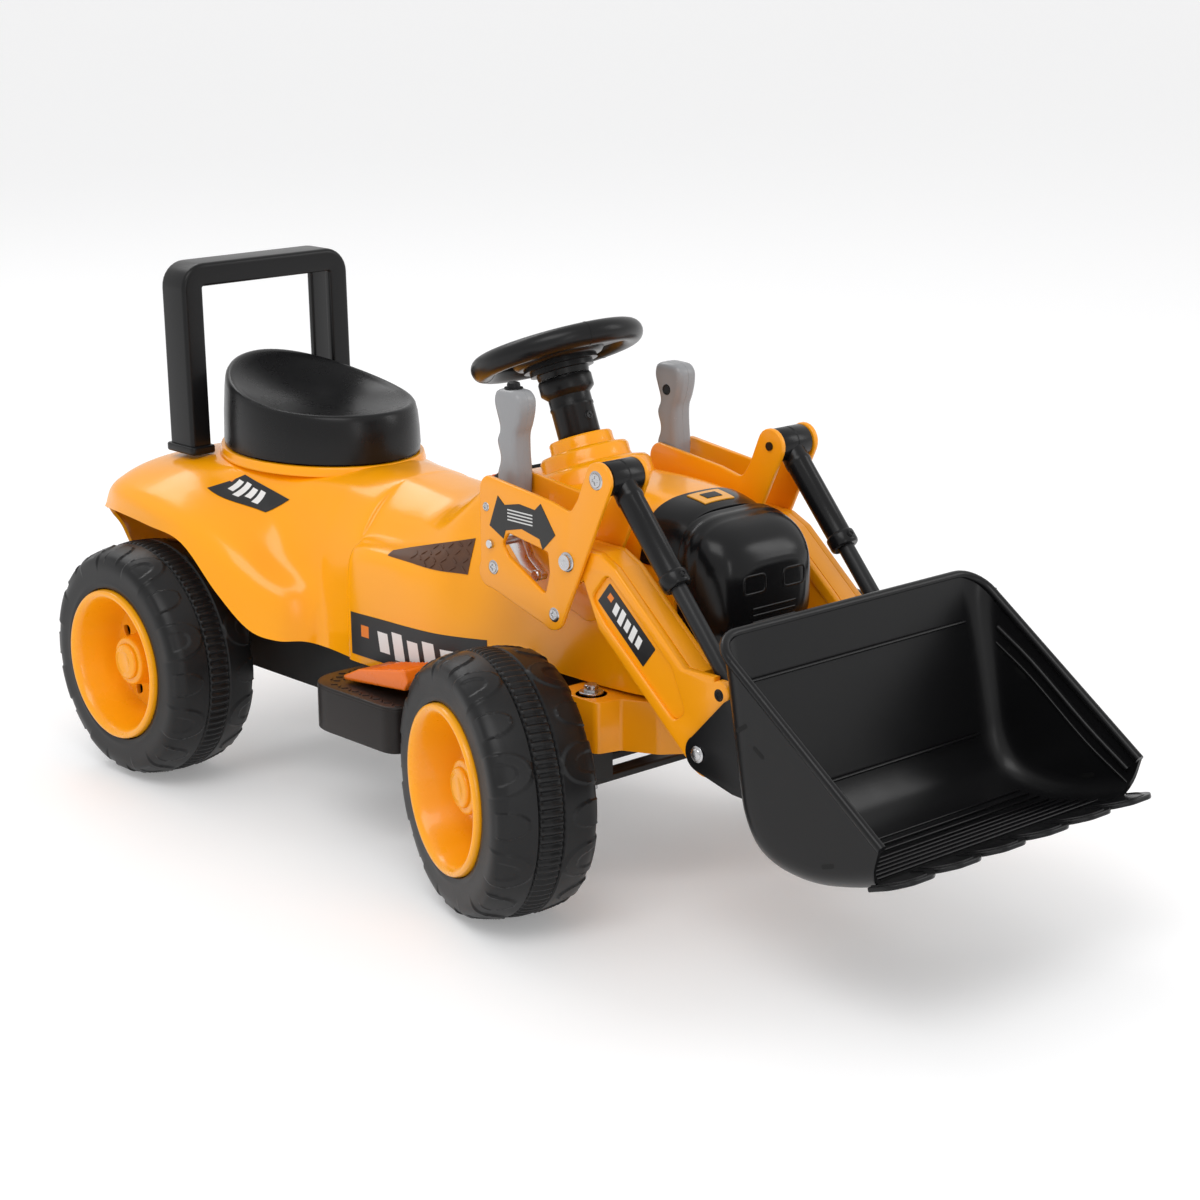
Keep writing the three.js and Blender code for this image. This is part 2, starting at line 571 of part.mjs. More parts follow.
function wheel(name, parent, sign, faceX, y) {
  const place = profile => profile.map(([r, d]) => [r, sign * (faceX - d)]);
  const z = axleZ;
  piece(`tyre_${name}`, turned(place(tyreProfile), tyreFacets, y, z), tyreBlack, parent);
  piece(`rim_${name}`, turned(place(rimProfile(axleRadius + boreGap)), 28, y, z), yellow, parent);
  const capFoot = hubDepth - 14 - touchGap;
  piece(`hub_cap_${name}`, turned(place([[0, capFoot], [19, capFoot], [19, capFoot - 4], [14, capFoot - 8],
    [0, capFoot - 8]]), 20, y, z), yellow, parent);
}
for (const [side, sign] of sides) {
  wheel(`rear_${side}`, digger, sign, rearOuterX, rearAxleY);
  wheel(`front_${side}`, knuckleGroups[side], sign, kingpinToWheelFace, 0);
}

// ---- rear axle and drive ----
const axleEnd = rearOuterX - hubDepth + 12;
piece('rear_axle', rodX(axleRadius, -axleEnd, axleEnd, rearAxleY, axleZ, 16), steel);
const washerInner = trayHalf + touchGap;
const wheelInner = rearOuterX - tyreWidth + 2;
for (const [side, sign] of sides) {
  piece(`axle_spacer_${side}`, turned([
    [axleRadius + boreGap, sign * washerInner], [14, sign * washerInner],
    [14, sign * (wheelInner - runGap)], [axleRadius + boreGap, sign * (wheelInner - runGap)],
    [axleRadius + boreGap, sign * washerInner]], 20, rearAxleY, axleZ), black);
}
const gearboxInner = 22;
const gearboxOuter = trayHalf - trayFloor - touchGap;
const gearboxLow = trayLow + trayFloor + touchGap;
piece('gearbox', cut(
  join(plate([...arc(rearAxleY, axleZ, 10.5, 180, 270, 3), ...arc(rearAxleY + 20, axleZ + 8, 18, 270, 450, 8),
    [rearAxleY - 60, axleZ + 44], [rearAxleY - 80, axleZ + 30], [rearAxleY - 80, axleZ + 2]]
    .map(([y, z]) => [y, Math.max(z, gearboxLow)]), -gearboxOuter, -gearboxInner - 26)),
  rodX(axleRadius + boreGap, -gearboxOuter - 5, -gearboxInner, rearAxleY, axleZ)), black);
piece('drive_motor', rodX(19, -gearboxInner - 26 + touchGap, 28, rearAxleY - 50, axleZ + 20, 20), steel);
piece('battery', block(-70, 70, between(0.72), between(0.35) + 10, trayLow + trayFloor + touchGap, axleZ + 80), black);

// ---- accelerator pedal on the right step ----
const pedalToeY = stepFront + 12;
const pedalLength = 92;
const pedalProfile = [[pedalToeY, stepTop + 11], [pedalToeY + pedalLength, stepTop + 2],
  [pedalToeY + pedalLength + 3, stepTop + 6], [pedalToeY + pedalLength - 24, stepTop + 17],
  [pedalToeY, stepTop + 31], [pedalToeY - 6, stepTop + 20]];
piece('accelerator_pedal', plate(pedalProfile, -stepInner - 58, -stepInner - 18), orange);

// ---- dash switches, on the rider's side of the boss ----
const dashRearY = between(0.882);
const dashFrontY = between(1);
const dashRise = 18;
const dashSlope = Math.atan2(dashRise, dashRearY - dashFrontY);
function onDash(geometry) {
  return geometry.rotateX(-dashSlope)
    .translate(0, (dashRearY + dashFrontY) / 2, axleZ + 232 - dashRise / 2);
}
piece('switch_panel', onDash(cut(block(-40, 40, -14, 14, 0.6, 5), block(-36, -16, -9, 9, 0, 9),
  block(16, 36, -9, 9, 0, 9))), black);
piece('power_switch', onDash(block(-35, -17, -8, 8, 2, 9)), orange);
piece('direction_switch', onDash(block(17, 35, -8, 8, 2, 9)), black);
piece('charging_socket', onDash(lathe([[3, 5.4], [8, 5.4], [8, 8], [3, 8], [3, 5.4]], 16)), black);

// ---- loader brackets ----
// Two flat plates a side, screwed to the body; the arm, the cylinder head and the lever
// run between them. Profile points are measured from the arm pivot.
const fromPivot = points => points.map(([y, z]) => [armPivot[0] + y, armPivot[1] + z]);
function bracketShape() {
  return fromPivot([
    ...arc(-40, 78, 16, 205, 20, 6), [-4, 44], [24, 50], [108, 60], ...arc(108, 46, 14, 90, 0, 3),
    [122, -26], ...arc(106, -28, 15, 0, -110, 4), ...arc(22, -50, 16, -55, -165, 5)]);
}
const leverWindow = fromPivot([[24, -14], [26, 4], [80, 12], [88, 0], [80, -10], [30, -36]]);
for (const [side, sign] of sides) {
  const outer = cut(plate(bracketShape(), bracketOuterX, bracketOuterX + bracketWall),
    plate(leverWindow, bracketOuterX - 5, bracketOuterX + bracketWall + 5),
    rodX(pinRadius + boreGap, bracketOuterX - 5, bracketOuterX + 15, ...armPivot, 12),
    rodX(pinRadius + boreGap, bracketOuterX - 5, bracketOuterX + 15, ...cylinderPivot, 12),
    rodX(pinRadius + boreGap, bracketOuterX - 5, bracketOuterX + 15, ...leverPivot, 12));
  piece(`bracket_outer_${side}`, sign > 0 ? outer : mirrored(outer), yellow);
  const innerFace = bracketInnerX - bracketWall;
  const inner = cut(plate(bracketShape(), innerFace, bracketInnerX),
    rodX(pinRadius + boreGap, innerFace - 5, bracketInnerX + 5, ...armPivot, 12),
    rodX(pinRadius + boreGap, innerFace - 5, bracketInnerX + 5, ...cylinderPivot, 12),
    rodX(pinRadius + boreGap, innerFace - 5, bracketInnerX + 5, ...leverPivot, 12));
  piece(`bracket_inner_${side}`, sign > 0 ? inner : mirrored(inner), yellow);
}
const pivotRodEnd = bracketOuterX + bracketWall + 4;
piece('arm_pivot_rod', join(rodX(pinRadius, -pivotRodEnd, pivotRodEnd, ...armPivot, 12),
  ...sides.map(([, sign]) => rodX(7, sign * (bracketOuterX + bracketWall + touchGap), sign * pivotRodEnd,
    ...armPivot, 16))), steel);

// ---- loader arms ----
const armEnd = bucketPivot;
const rodPinRadius = 3;
const armAngle = Math.atan2(136, 163);
function armShape() {
  const along = ([y, z], t, d) => [y - Math.cos(armAngle) * t + Math.sin(armAngle) * d * -1,
    z - Math.sin(armAngle) * t + Math.cos(armAngle) * d];
  const top = armPivot;
  return [...arc(top[0], top[1], 20, -130 - 0, 40, 6),
    along(top, 18, 30), along(top, 40, 36), along(top, 150, 36), rodPin.map((v, i) => v + [6, 14][i]),
    ...arc(rodPin[0], rodPin[1], 12, 60, 180, 4), [armEnd[0] - 22, armEnd[1] + 8],
    ...arc(armEnd[0], armEnd[1], 22, 170, 300, 6), along(top, 60, -22)];
}
for (const [side, sign] of sides) {
  const slotHalf = 9;
  const arm = cut(plate(armShape(), armInnerX, armOuterX),
    rodX(pinRadius + boreGap, armInnerX - 5, armOuterX + 5, ...armPivot, 12),
    rodX(pinRadius + boreGap, armInnerX - 5, armOuterX + 5, ...bucketPivot, 12),
    block(cylinderX - slotHalf, cylinderX + slotHalf, rodPin[0] - 30, rodPin[0] + 26, rodPin[1] - 16, rodPin[1] + 40));
  const pinned = join(arm, rodX(rodPinRadius, armInnerX + 2, armOuterX - 2, ...rodPin, 12));
  piece(`loader_arm_${side}`, sign > 0 ? pinned : mirrored(pinned), yellow);
}
const crossY = bucketPivot[0] + 34;
const crossZ = bucketPivot[1] + 28;
piece('arm_cross_tube', rodX(9, -armInnerX + touchGap, armInnerX - touchGap, crossY, crossZ, 16), black);

// ---- telescopic cylinders ----
const cylinderRun = Math.hypot(rodPin[0] - cylinderPivot[0], rodPin[1] - cylinderPivot[1]);
const cylinderAngle = Math.atan2(rodPin[1] - cylinderPivot[1], rodPin[0] - cylinderPivot[0]);
const barrelRadius = 11.5;
const rodRadius = 7.5;
const barrelEnd = 112;
const rodStart = 76;
const rodEyeSlack = 2.6;       // the rod's eye rides loosely on the arm's pin
const alongCylinder = geometry => geometry.rotateX(cylinderAngle)
  .translate(0, cylinderPivot[0], cylinderPivot[1]);
function tubeY(outer, inner, y0, y1, segments) {
  return new THREE.LatheGeometry([[inner, y0], [outer, y0], [outer, y1], [inner, y1], [inner, y0]]
    .map(([r, y]) => new THREE.Vector2(r, y)), segments);
}
for (const [side, sign] of sides) {
  const barrel = cut(join(
    rodX(pinRadius, bracketInnerX - 3, bracketOuterX + 3, 0, 0, 12),
    rodX(15, bracketInnerX + touchGap, bracketOuterX - touchGap, 0, 0, 20),
    new THREE.CylinderGeometry(barrelRadius, barrelRadius, barrelEnd, 16).translate(0, barrelEnd / 2, 0).translate(cylinderX, 0, 0)),
    new THREE.CylinderGeometry(rodRadius + runGap / 2, rodRadius + runGap / 2, barrelEnd, 16)
      .translate(cylinderX, 22 + barrelEnd / 2, 0));
  piece(`cylinder_barrel_${side}`, alongCylinder(sign > 0 ? barrel : mirrored(barrel)), black);
  const rod = cut(join(
    new THREE.CylinderGeometry(rodRadius, rodRadius, cylinderRun - rodStart, 16)
      .translate(cylinderX, (cylinderRun + rodStart) / 2, 0),
    rodX(rodRadius + 2, cylinderX - rodRadius, cylinderX + rodRadius, cylinderRun, 0, 16)),
    rodX(rodPinRadius + rodEyeSlack, cylinderX - 30, cylinderX + 30, cylinderRun, 0, 12));
  piece(`cylinder_rod_${side}`, alongCylinder(sign > 0 ? rod : mirrored(rod)), black);
}

// ---- levers ----
// A silver pistol grip on a flat bar; the bar hangs on the bracket's rear screw line and its
// curved lower end shows in the bracket window.
const leverX = armOuterX - 23;
const leverBarHalf = 4;
const gripHalfWidth = 11.5;
for (const [side, sign] of sides) {
  const bar = plate([[leverPivot[0] + 8, leverPivot[1] + 46], [leverPivot[0] - 8, leverPivot[1] + 46],
    [leverPivot[0] - 12, leverPivot[1] + 4], [leverPivot[0] - 22, leverPivot[1] - 14],
    [leverPivot[0] - 40, leverPivot[1] - 26], [leverPivot[0] - 34, leverPivot[1] - 32],
    [leverPivot[0] - 10, leverPivot[1] - 22], [leverPivot[0] + 8, leverPivot[1] - 4]],
    leverX - leverBarHalf, leverX + leverBarHalf);
  const barPinned = join(bar, rodX(pinRadius, bracketInnerX - 3, bracketOuterX + 3, ...leverPivot, 12));
  piece(`lever_bar_${side}`, sign > 0 ? barPinned : mirrored(barPinned), steel);
  const gripOutline = [[10, 40], [14, 60], [10, 76], [13, 90], [9, 102], [12, 116], [16, 128], [10, 136],
    [-14, 136], [-20, 128], [-18, 112], [-12, 96], [-14, 60], [-12, 40]];
  const grip = cut(
    plate(gripOutline.map(([y, z]) => [leverPivot[0] + y, leverPivot[1] + z]), leverX - gripHalfWidth, leverX + gripHalfWidth),
    block(leverX - leverBarHalf - touchGap, leverX + leverBarHalf + touchGap, leverPivot[0] - 30,
      leverPivot[0] + 30, leverPivot[1] + 30, leverPivot[1] + 46 + touchGap),
    ...(sign < 0 ? [rodZ(6.6, leverX, leverPivot[0] + 0, leverPivot[1] + 118, leverPivot[1] + 150, 16)] : []));
  piece(`lever_grip_${side}`, sign > 0 ? grip : mirrored(grip), silver);
}
piece('lever_button', rodZ(6, -leverX, leverPivot[0], leverPivot[1] + 126, leverPivot[1] + 143, 16), black);


// ---- bucket ----
// One black moulding: curved floor and back, two side walls, six wavy teeth and four ears.
const fromBucket = points => points.map(([y, z]) => [bucketPivot[0] + y, bucketPivot[1] + z]);
const bucketRim = [-51, 117];
const bucketTip = [-261, -39];
const bucketOutside = [bucketRim, [-62, 60], [-75, -10], [-92, -48], [-120, -65], [-160, -67], [-229, -50],
  bucketTip];
const bucketInside = [[-237, -42], [-160, -63], [-122, -61], [-95, -45], [-79, -9], [-66, 60], [-55, 112]];
const bucketShell = plate(fromBucket([...bucketOutside, ...bucketInside]), -bucketHalfWidth, bucketHalfWidth);
const cheek = fromBucket([...bucketOutside.slice(0, -1), [-237, -12]]);
const cheeks = sides.map(([, sign]) =>
  plate(cheek, sign * (bucketHalfWidth - bucketWall), sign * bucketHalfWidth));
const toothCut = Array.from({ length: toothCount - 1 }, (_, i) => {
  const x = (i - (toothCount - 2) / 2) * toothPitch;
  return block(x - 6, x + 6, bucketPivot[0] + bucketTip[0] - 10, bucketPivot[0] + bucketTip[0] + 12,
    bucketPivot[1] - 70, bucketPivot[1]);
});
const earOutline = fromBucket([...arc(0, 0, 16, -80, 60, 8), [-58, 70], [-74, 0], [-86, -30]]);
const earWall = 5;
const ears = sides.flatMap(([, sign]) => [
  plate(earOutline, sign * (armOuterX + runGap), sign * (armOuterX + runGap + earWall)),
  plate(earOutline, sign * (armInnerX - runGap - earWall), sign * (armInnerX - runGap))]);
const earBores = sides.map(([, sign]) =>
  rodX(pinRadius + boreGap, sign * (armInnerX - 20), sign * (armOuterX + 20), ...bucketPivot, 12));
piece('bucket', cut(join(bucketShell, ...cheeks, ...ears), ...toothCut, ...earBores), black);
const bucketRodEnd = armOuterX + runGap + earWall + 4;
piece('bucket_pivot_rod', join(rodX(pinRadius, -bucketRodEnd, bucketRodEnd, ...bucketPivot, 12),
  ...sides.map(([, sign]) => rodX(7, sign * (bucketRodEnd - 4 + touchGap), sign * bucketRodEnd,
    ...bucketPivot, 16))), steel);

export default digger;
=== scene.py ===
import math

import bmesh
import bpy
import numpy as np
from mathutils import Matrix, Quaternion, Vector
from mathutils.geometry import tessellate_polygon


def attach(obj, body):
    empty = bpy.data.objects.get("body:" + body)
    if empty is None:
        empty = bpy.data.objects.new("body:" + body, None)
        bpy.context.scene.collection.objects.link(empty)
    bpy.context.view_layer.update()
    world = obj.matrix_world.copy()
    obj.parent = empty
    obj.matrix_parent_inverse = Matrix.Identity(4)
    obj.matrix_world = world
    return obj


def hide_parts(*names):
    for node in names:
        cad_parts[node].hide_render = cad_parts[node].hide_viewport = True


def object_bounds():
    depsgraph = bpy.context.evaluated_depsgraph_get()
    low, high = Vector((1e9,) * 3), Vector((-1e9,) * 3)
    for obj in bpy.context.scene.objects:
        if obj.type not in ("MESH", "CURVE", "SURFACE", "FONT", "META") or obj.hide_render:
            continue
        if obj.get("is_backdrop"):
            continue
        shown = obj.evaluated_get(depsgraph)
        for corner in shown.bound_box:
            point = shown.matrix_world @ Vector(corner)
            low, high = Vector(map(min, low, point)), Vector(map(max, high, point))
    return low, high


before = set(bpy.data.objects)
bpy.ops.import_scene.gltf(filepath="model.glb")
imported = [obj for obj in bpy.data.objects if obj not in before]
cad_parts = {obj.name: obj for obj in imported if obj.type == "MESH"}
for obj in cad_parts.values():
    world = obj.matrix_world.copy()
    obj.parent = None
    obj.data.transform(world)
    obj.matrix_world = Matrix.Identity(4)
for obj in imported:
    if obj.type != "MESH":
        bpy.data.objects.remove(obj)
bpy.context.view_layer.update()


# ---- Camera ----
# A long lens held a little above the roll bar, off the digger's front right corner. It is a
# plain studio view: level to half a degree, with nothing out of focus.
view_place = Vector((-1.63184, -1.85939, 0.89232))
view_line = Vector((0.645535, 0.718838, -0.257985))
view_roll = math.radians(-0.45)
camera_data = bpy.data.cameras.new("studio_camera")
camera_data.lens = 81.6
camera_data.sensor_width = 36
camera = bpy.data.objects.new("studio_camera", camera_data)
bpy.context.scene.collection.objects.link(camera)
camera.rotation_mode = "QUATERNION"
camera.location = view_place
camera.rotation_quaternion = view_line.to_track_quat("-Z", "Y") @ Quaternion((0, 0, 1), view_roll)
bpy.context.scene.camera = camera


# ---- Floor and light ----
# A pale seamless floor with one broad soft lamp high on the left, a weaker one on the right,
# and an even sky, so the shadow under the digger is short and soft.
class Shade:
    """One socket of a node tree, added, multiplied and compared like a number."""

    def __init__(self, tree, output=None):
        self.tree = tree
        self.output = output

    def node(self, kind, settings=None, inputs=None, out=0):
        made = self.tree.nodes.new(kind)
        for key, value in (settings or {}).items():
            setattr(made, key, value)
        for key, value in (inputs or {}).items():
            if isinstance(value, Shade):
                self.tree.links.new(value.output, made.inputs[key])
            else:
                made.inputs[key].default_value = value
        return Shade(self.tree, made.outputs[out] if made.outputs else None)

    def sum(self, operation, first, second=0.0):
        return self.node("ShaderNodeMath", {"operation": operation}, {0: first, 1: second})

    def __add__(self, other):
        return self.sum("ADD", self, other)

    __radd__ = __add__

    def __mul__(self, other):
        return self.sum("MULTIPLY", self, other)

    __rmul__ = __mul__

    def __sub__(self, other):
        return self.sum("SUBTRACT", self, other)

    def __rsub__(self, other):
        return self.sum("SUBTRACT", other, self)

    def __lt__(self, other):
        return self.sum("LESS_THAN", self, other)

    def within(self, middle, half):
        return self.sum("ABSOLUTE", self - middle) < half

    def blend(self, first, second, share):
        """The first colour turned into the second by a share from 0 to 1."""
        mixed = self.node("ShaderNodeMix", {"data_type": "RGBA"}, {0: share}, out=2)
        sockets = mixed.output.node.inputs
        for socket, value in ((sockets[6], first), (sockets[7], second)):
            if isinstance(value, Shade):
                self.tree.links.new(value.output, socket)
            else:
                socket.default_value = (*value, 1)
        return mixed


def new_finish(name):
    material = bpy.data.materials.new(name)
    material.use_nodes = True
    material.node_tree.nodes.clear()
    return material, Shade(material.node_tree)


def noise(s, scale, detail=4.0, roughness=0.5):
    """Random mottling fixed to the object, finer as scale grows."""
    place = s.node("ShaderNodeTexCoord", out="Object")
    return s.node("ShaderNodeTexNoise", {}, {"Vector": place, "Scale": scale, "Detail": detail,
                                             "Roughness": roughness})


def surface(s, colour, roughness, height=None, depth=0.0005, strength=0.4, **constants):
    """Ends a finish: a Principled surface, with its relief where a height is given."""
    inputs = {"Base Color": colour, "Roughness": roughness}
    inputs.update({key.replace("_", " "): value for key, value in constants.items()})
    if isinstance(colour, tuple):
        inputs["Base Color"] = (*colour, 1)
    if height is not None:
        inputs["Normal"] = s.node("ShaderNodeBump", {}, {
            "Strength": strength, "Distance": depth, "Height": height})
    skin = s.node("ShaderNodeBsdfPrincipled", {}, inputs)
    s.node("ShaderNodeOutputMaterial", {}, {"Surface": skin})


floor_size = 70
floor_mesh = bpy.data.meshes.new("studio_floor")
floor_mesh.from_pydata([(x * floor_size, y * floor_size, -0.0005) for x, y in
                        ((-1, -1), (1, -1), (1, 1), (-1, 1))], [], [(0, 1, 2, 3)])
floor = bpy.data.objects.new("studio_floor", floor_mesh)
bpy.context.scene.collection.objects.link(floor)
floor_paint, s = new_finish("floor_paint")
wear = s.node("ShaderNodeTexNoise", {}, {"Scale": 3.0, "Detail": 4.0})
surface(s, s.blend((0.8, 0.8, 0.805), (0.84, 0.84, 0.845), wear), 0.6 + 0.1 * wear,
        Emission_Color=(1, 1, 1, 1), Emission_Strength=0.22)
floor_mesh.materials.append(floor_paint)
floor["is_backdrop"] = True

lamps = [
    ("window_lamp", (-2.0, -1.2, 3.4), (2.2, 1.8), 42),
    ("side_lamp", (3.0, -2.6, 2.2), (1.0, 2.0), 22),
    ("back_lamp", (0.4, 3.2, 3.2), (2.4, 1.0), 26),
    ("front_strip", (-1.4, -3.6, 1.4), (0.4, 1.8), 9),
]
for name, place, size, power in lamps:
    lamp_data = bpy.data.lights.new(name, "AREA")
    lamp_data.shape = "RECTANGLE"
    lamp_data.size, lamp_data.size_y = size
    lamp_data.energy = power
    lamp = bpy.data.objects.new(name, lamp_data)
    lamp.location = place
    lamp.rotation_mode = "QUATERNION"
    lamp.rotation_quaternion = (Vector((0, 0, 0.2)) - lamp.location).to_track_quat("-Z", "Y")
    bpy.context.scene.collection.objects.link(lamp)
sky = bpy.data.worlds.new("studio_sky")
sky.use_nodes = True
sky.node_tree.nodes["Background"].inputs["Color"].default_value = (1, 1, 1, 1)
sky.node_tree.nodes["Background"].inputs["Strength"].default_value = 0.8
bpy.context.scene.world = sky
bpy.context.scene.view_settings.view_transform = "Standard"


# ---- Body shell ----
# One large blow-moulded skin of glossy yellow-orange plastic: fenders, saddle pedestal, waist
# and hood in a single piece, with a stepped boss for the steering column. It is screwed down
# to the floor pan along its lower edge. All lengths in the sections below are millimetres.
axle_height = 120
rear_axle = 446
front_axle = -131
column_tilt = math.radians(22)


def moulded(name, colour, roughness, grain=0.0009, depth=0.00012, shade=0.08, coat=0.0):
    """Moulded plastic: slow drift of the pigment, handled patches, and the tool's fine grain."""
    material, s = new_finish(name)
    pigment = noise(s, 7.0, 3.0)
    handled = noise(s, 31.0, 5.0, 0.6)
    tool = noise(s, 1 / grain, 2.0)
    dark = tuple(c * (1 - shade) for c in colour)
    light = tuple(min(1.0, c * (1 + shade)) for c in colour)
    surface(s, s.blend(dark, light, pigment), roughness - 0.05 + 0.1 * handled,
            height=tool, depth=depth, Coat_Weight=coat, Coat_Roughness=0.06,
            Specular_IOR_Level=0.25 if max(colour) < 0.03 else 0.36)
    return material


def piece(name, parts, material, body, stands_for, angle=38):
    """Joins parts, each (points in mm, faces), into one object on a body of the frame."""
    points = []
    faces = []
    for part_points, part_faces in parts:
        first = len(points)
        points += [Vector(p) * 0.001 for p in part_points]
        faces += [tuple(first + i for i in face) for face in part_faces]
    mesh = bpy.data.meshes.new(name)
    mesh.from_pydata(points, [], faces)
    work = bmesh.new()
    work.from_mesh(mesh)
    bmesh.ops.remove_doubles(work, verts=work.verts, dist=2e-6)
    bmesh.ops.recalc_face_normals(work, faces=work.faces)
    work.to_mesh(mesh)
    work.free()
    mesh.shade_smooth()
    mesh.set_sharp_from_angle(angle=math.radians(angle))
    mesh.materials.append(material)
    made = bpy.data.objects.new(name, mesh)
    bpy.context.scene.collection.objects.link(made)
    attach(made, body)
    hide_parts(*stands_for)
    return made


def sheet_of(rows, closed=False):
    """Faces over rows of points; closed joins each row's end to its start."""
    count = len(rows[0])
    points = [p for row in rows for p in row]
    faces = []
    for i in range(len(rows) - 1):
        for j in range(count if closed else count - 1):
            k = (j + 1) % count
            faces.append((i * count + j, i * count + k, (i + 1) * count + k, (i + 1) * count + j))
    return points, faces


def walled(rows, wall):
    """A closed skin of even wall behind rows of points."""
    grid = np.array(rows, float)
    along = np.gradient(grid, axis=0)
    across = np.gradient(grid, axis=1)
    normal = np.cross(along, across)
    normal /= np.maximum(np.linalg.norm(normal, axis=2, keepdims=True), 1e-9)
    behind = grid - normal * wall
    ring = [np.concatenate([grid[i], behind[i][::-1]]) for i in range(len(grid))]
    points, faces = sheet_of([[tuple(p) for p in row] for row in ring], closed=True)
    count = len(ring[0])
    half = count // 2
    for start, flip in ((0, False), ((len(ring) - 1) * count, True)):
        for j in range(half - 1):
            face = (start + j, start + j + 1, start + count - 2 - j, start + count - 1 - j)
            faces.append(face[::-1] if flip else face)
    return points, faces


def spun(profile, sides, place=None):
    """A turned part about Z; the profile is (radius, height) points, ends on the axis or closed."""
    rows = []
    for r, h in profile:
        rows.append([(r * math.cos(2 * math.pi * i / sides), r * math.sin(2 * math.pi * i / sides), h)
                     for i in range(sides)])
    return moved(sheet_of(rows, closed=True), place)


def moved(part, place):
    if place is None:
        return part
    return [tuple(place @ Vector(p)) for p in part[0]], part[1]


def smooth_through(controls, steps):
    """Points on a smooth curve through the control points, steps to each span."""
    c = [np.array(p, float) for p in controls]
    c = [2 * c[0] - c[1]] + c + [2 * c[-1] - c[-2]]
    out = []
    for i in range(1, len(c) - 2):
        for k in range(steps):
            out.append(spline_point(c[i - 1:i + 3], k / steps))
    out.append(c[-2])
    return out


def spline_point(c, t):
    return 0.5 * (2 * c[1] + (c[2] - c[0]) * t + (2 * c[0] - 5 * c[1] + 4 * c[2] - c[3]) * t * t
                  + (3 * c[1] - c[0] - 3 * c[2] + c[3]) * t ** 3)


shell_yellow = moulded("shell_yellow", (0.98, 0.37, 0.001), 0.22, depth=0.00004, shade=0.04, coat=0.16)
shell_wall = 3.5
rear_arch = rear_axle - 146
front_arch = front_axle + 176


def from_rear(d):
    return rear_axle + d


def between(t):
    return rear_arch + (front_arch - rear_arch) * t


def from_front(d):
    return front_axle + d


# Half sections, middle of the top to lower edge: [out from the middle, height over the axles].
shell_sections = [
    (from_rear(110), [(0, 50), (45, 50), (85, 52), (112, 60), (128, 85), (140, 112), (150, 126)]),
    (from_rear(115), [(0, 105), (45, 105), (85, 106), (112, 112), (130, 123), (143, 130), (153, 134)]),
    (from_rear(112), [(0, 162), (45, 162), (85, 161), (113, 158), (135, 152), (150, 144), (158, 136)]),
    (from_rear(99), [(0, 183), (45, 183), (85, 181), (115, 177), (140, 169), (157, 158), (163, 137)]),
    (from_rear(64), [(0, 192), (45, 192), (88, 190), (120, 184), (146, 175), (166, 162), (171, 139)]),
    (from_rear(4), [(0, 197), (45, 197), (90, 193), (122, 185), (150, 172), (170, 156), (175, 136)]),
    (from_rear(-56), [(0, 198), (45, 198), (86, 193), (106, 177), (136, 166), (164, 150), (175, 128)]),
    (from_rear(-106), [(0, 199), (44, 199), (80, 190), (99, 160), (124, 143), (156, 124), (170, 86)]),
    (from_rear(-140), [(0, 200), (41, 199), (77, 187), (95, 146), (114, 116), (145, 98), (157, 52)]),
    (from_rear(-165), [(0, 201), (38, 200), (72, 185), (92, 144), (104, 104), (130, 80), (141, 42)]),
    (between(0.137), [(0, 202), (36, 200), (69, 184), (90, 146), (99, 104), (112, 62), (118, 40)]),
    (between(0.19), [(0, 202), (35, 200), (67, 183), (89, 146), (98, 106), (101, 66), (102, 34)]),
    (between(0.34), [(0, 202), (34, 198), (64, 181), (88, 148), (98, 118), (101, 76), (102, 32)]),
    (between(0.385), [(0, 201), (33, 197), (60, 178), (82, 153), (101, 142), (107, 112), (107, 32)]),
    (between(0.588), [(0, 198), (34, 194), (62, 178), (80, 156), (102, 145), (107, 116), (107, 32)]),
    (between(0.745), [(0, 198), (36, 194), (66, 180), (82, 160), (101, 145), (107, 112), (107, 32)]),
    (between(0.882), [(0, 214), (38, 212), (68, 198), (82, 170), (99, 147), (105, 100), (105, 32)]),
    (between(1), [(0, 232), (40, 230), (66, 218), (76, 180), (88, 142), (97, 94), (98, 46)]),
    (from_front(141), [(0, 240), (40, 238), (66, 226), (76, 184), (80, 142), (84, 100), (84, 60)]),
    (from_front(111), [(0, 243), (40, 242), (66, 229), (76, 190), (77, 142), (77, 102), (77, 70)]),
    (from_front(71), [(0, 244), (40, 243), (66, 230), (76, 192), (77, 142), (77, 102), (76, 71)]),
    (from_front(11), [(0, 246), (38, 244), (63, 230), (76, 190), (77, 142), (76, 105), (75, 71)]),
    (from_front(-39), [(0, 244), (36, 241), (58, 227), (70, 188), (73, 142), (73, 105), (72, 72)]),
    (from_front(-74), [(0, 238), (33, 234), (52, 220), (63, 184), (66, 142), (67, 108), (66, 74)]),
    (from_front(-79), [(0, 225), (32, 222), (50, 210), (61, 178), (64, 140), (64, 106), (63, 76)]),
    (from_front(-81), [(0, 150), (32, 149), (50, 147), (60, 140), (63, 125), (63, 100), (62, 74)]),
    (from_front(-82), [(0, 80), (32, 80), (48, 79), (57, 78), (60, 77), (61, 75), (61, 73)]),
]
shell_grid = np.array([
    [(-x, y, axle_height + h) for x, h in half[:0:-1]] + [(x, y, axle_height + h) for x, h in half]
    for y, half in shell_sections], float)
across_steps = 6
along_steps = 6
shell_rows = [smooth_through(row, across_steps) for row in shell_grid]
shell_columns = [smooth_through(column, along_steps) for column in np.swapaxes(shell_rows, 0, 1)]
shell_skin = np.swapaxes(np.array(shell_columns), 0, 1)


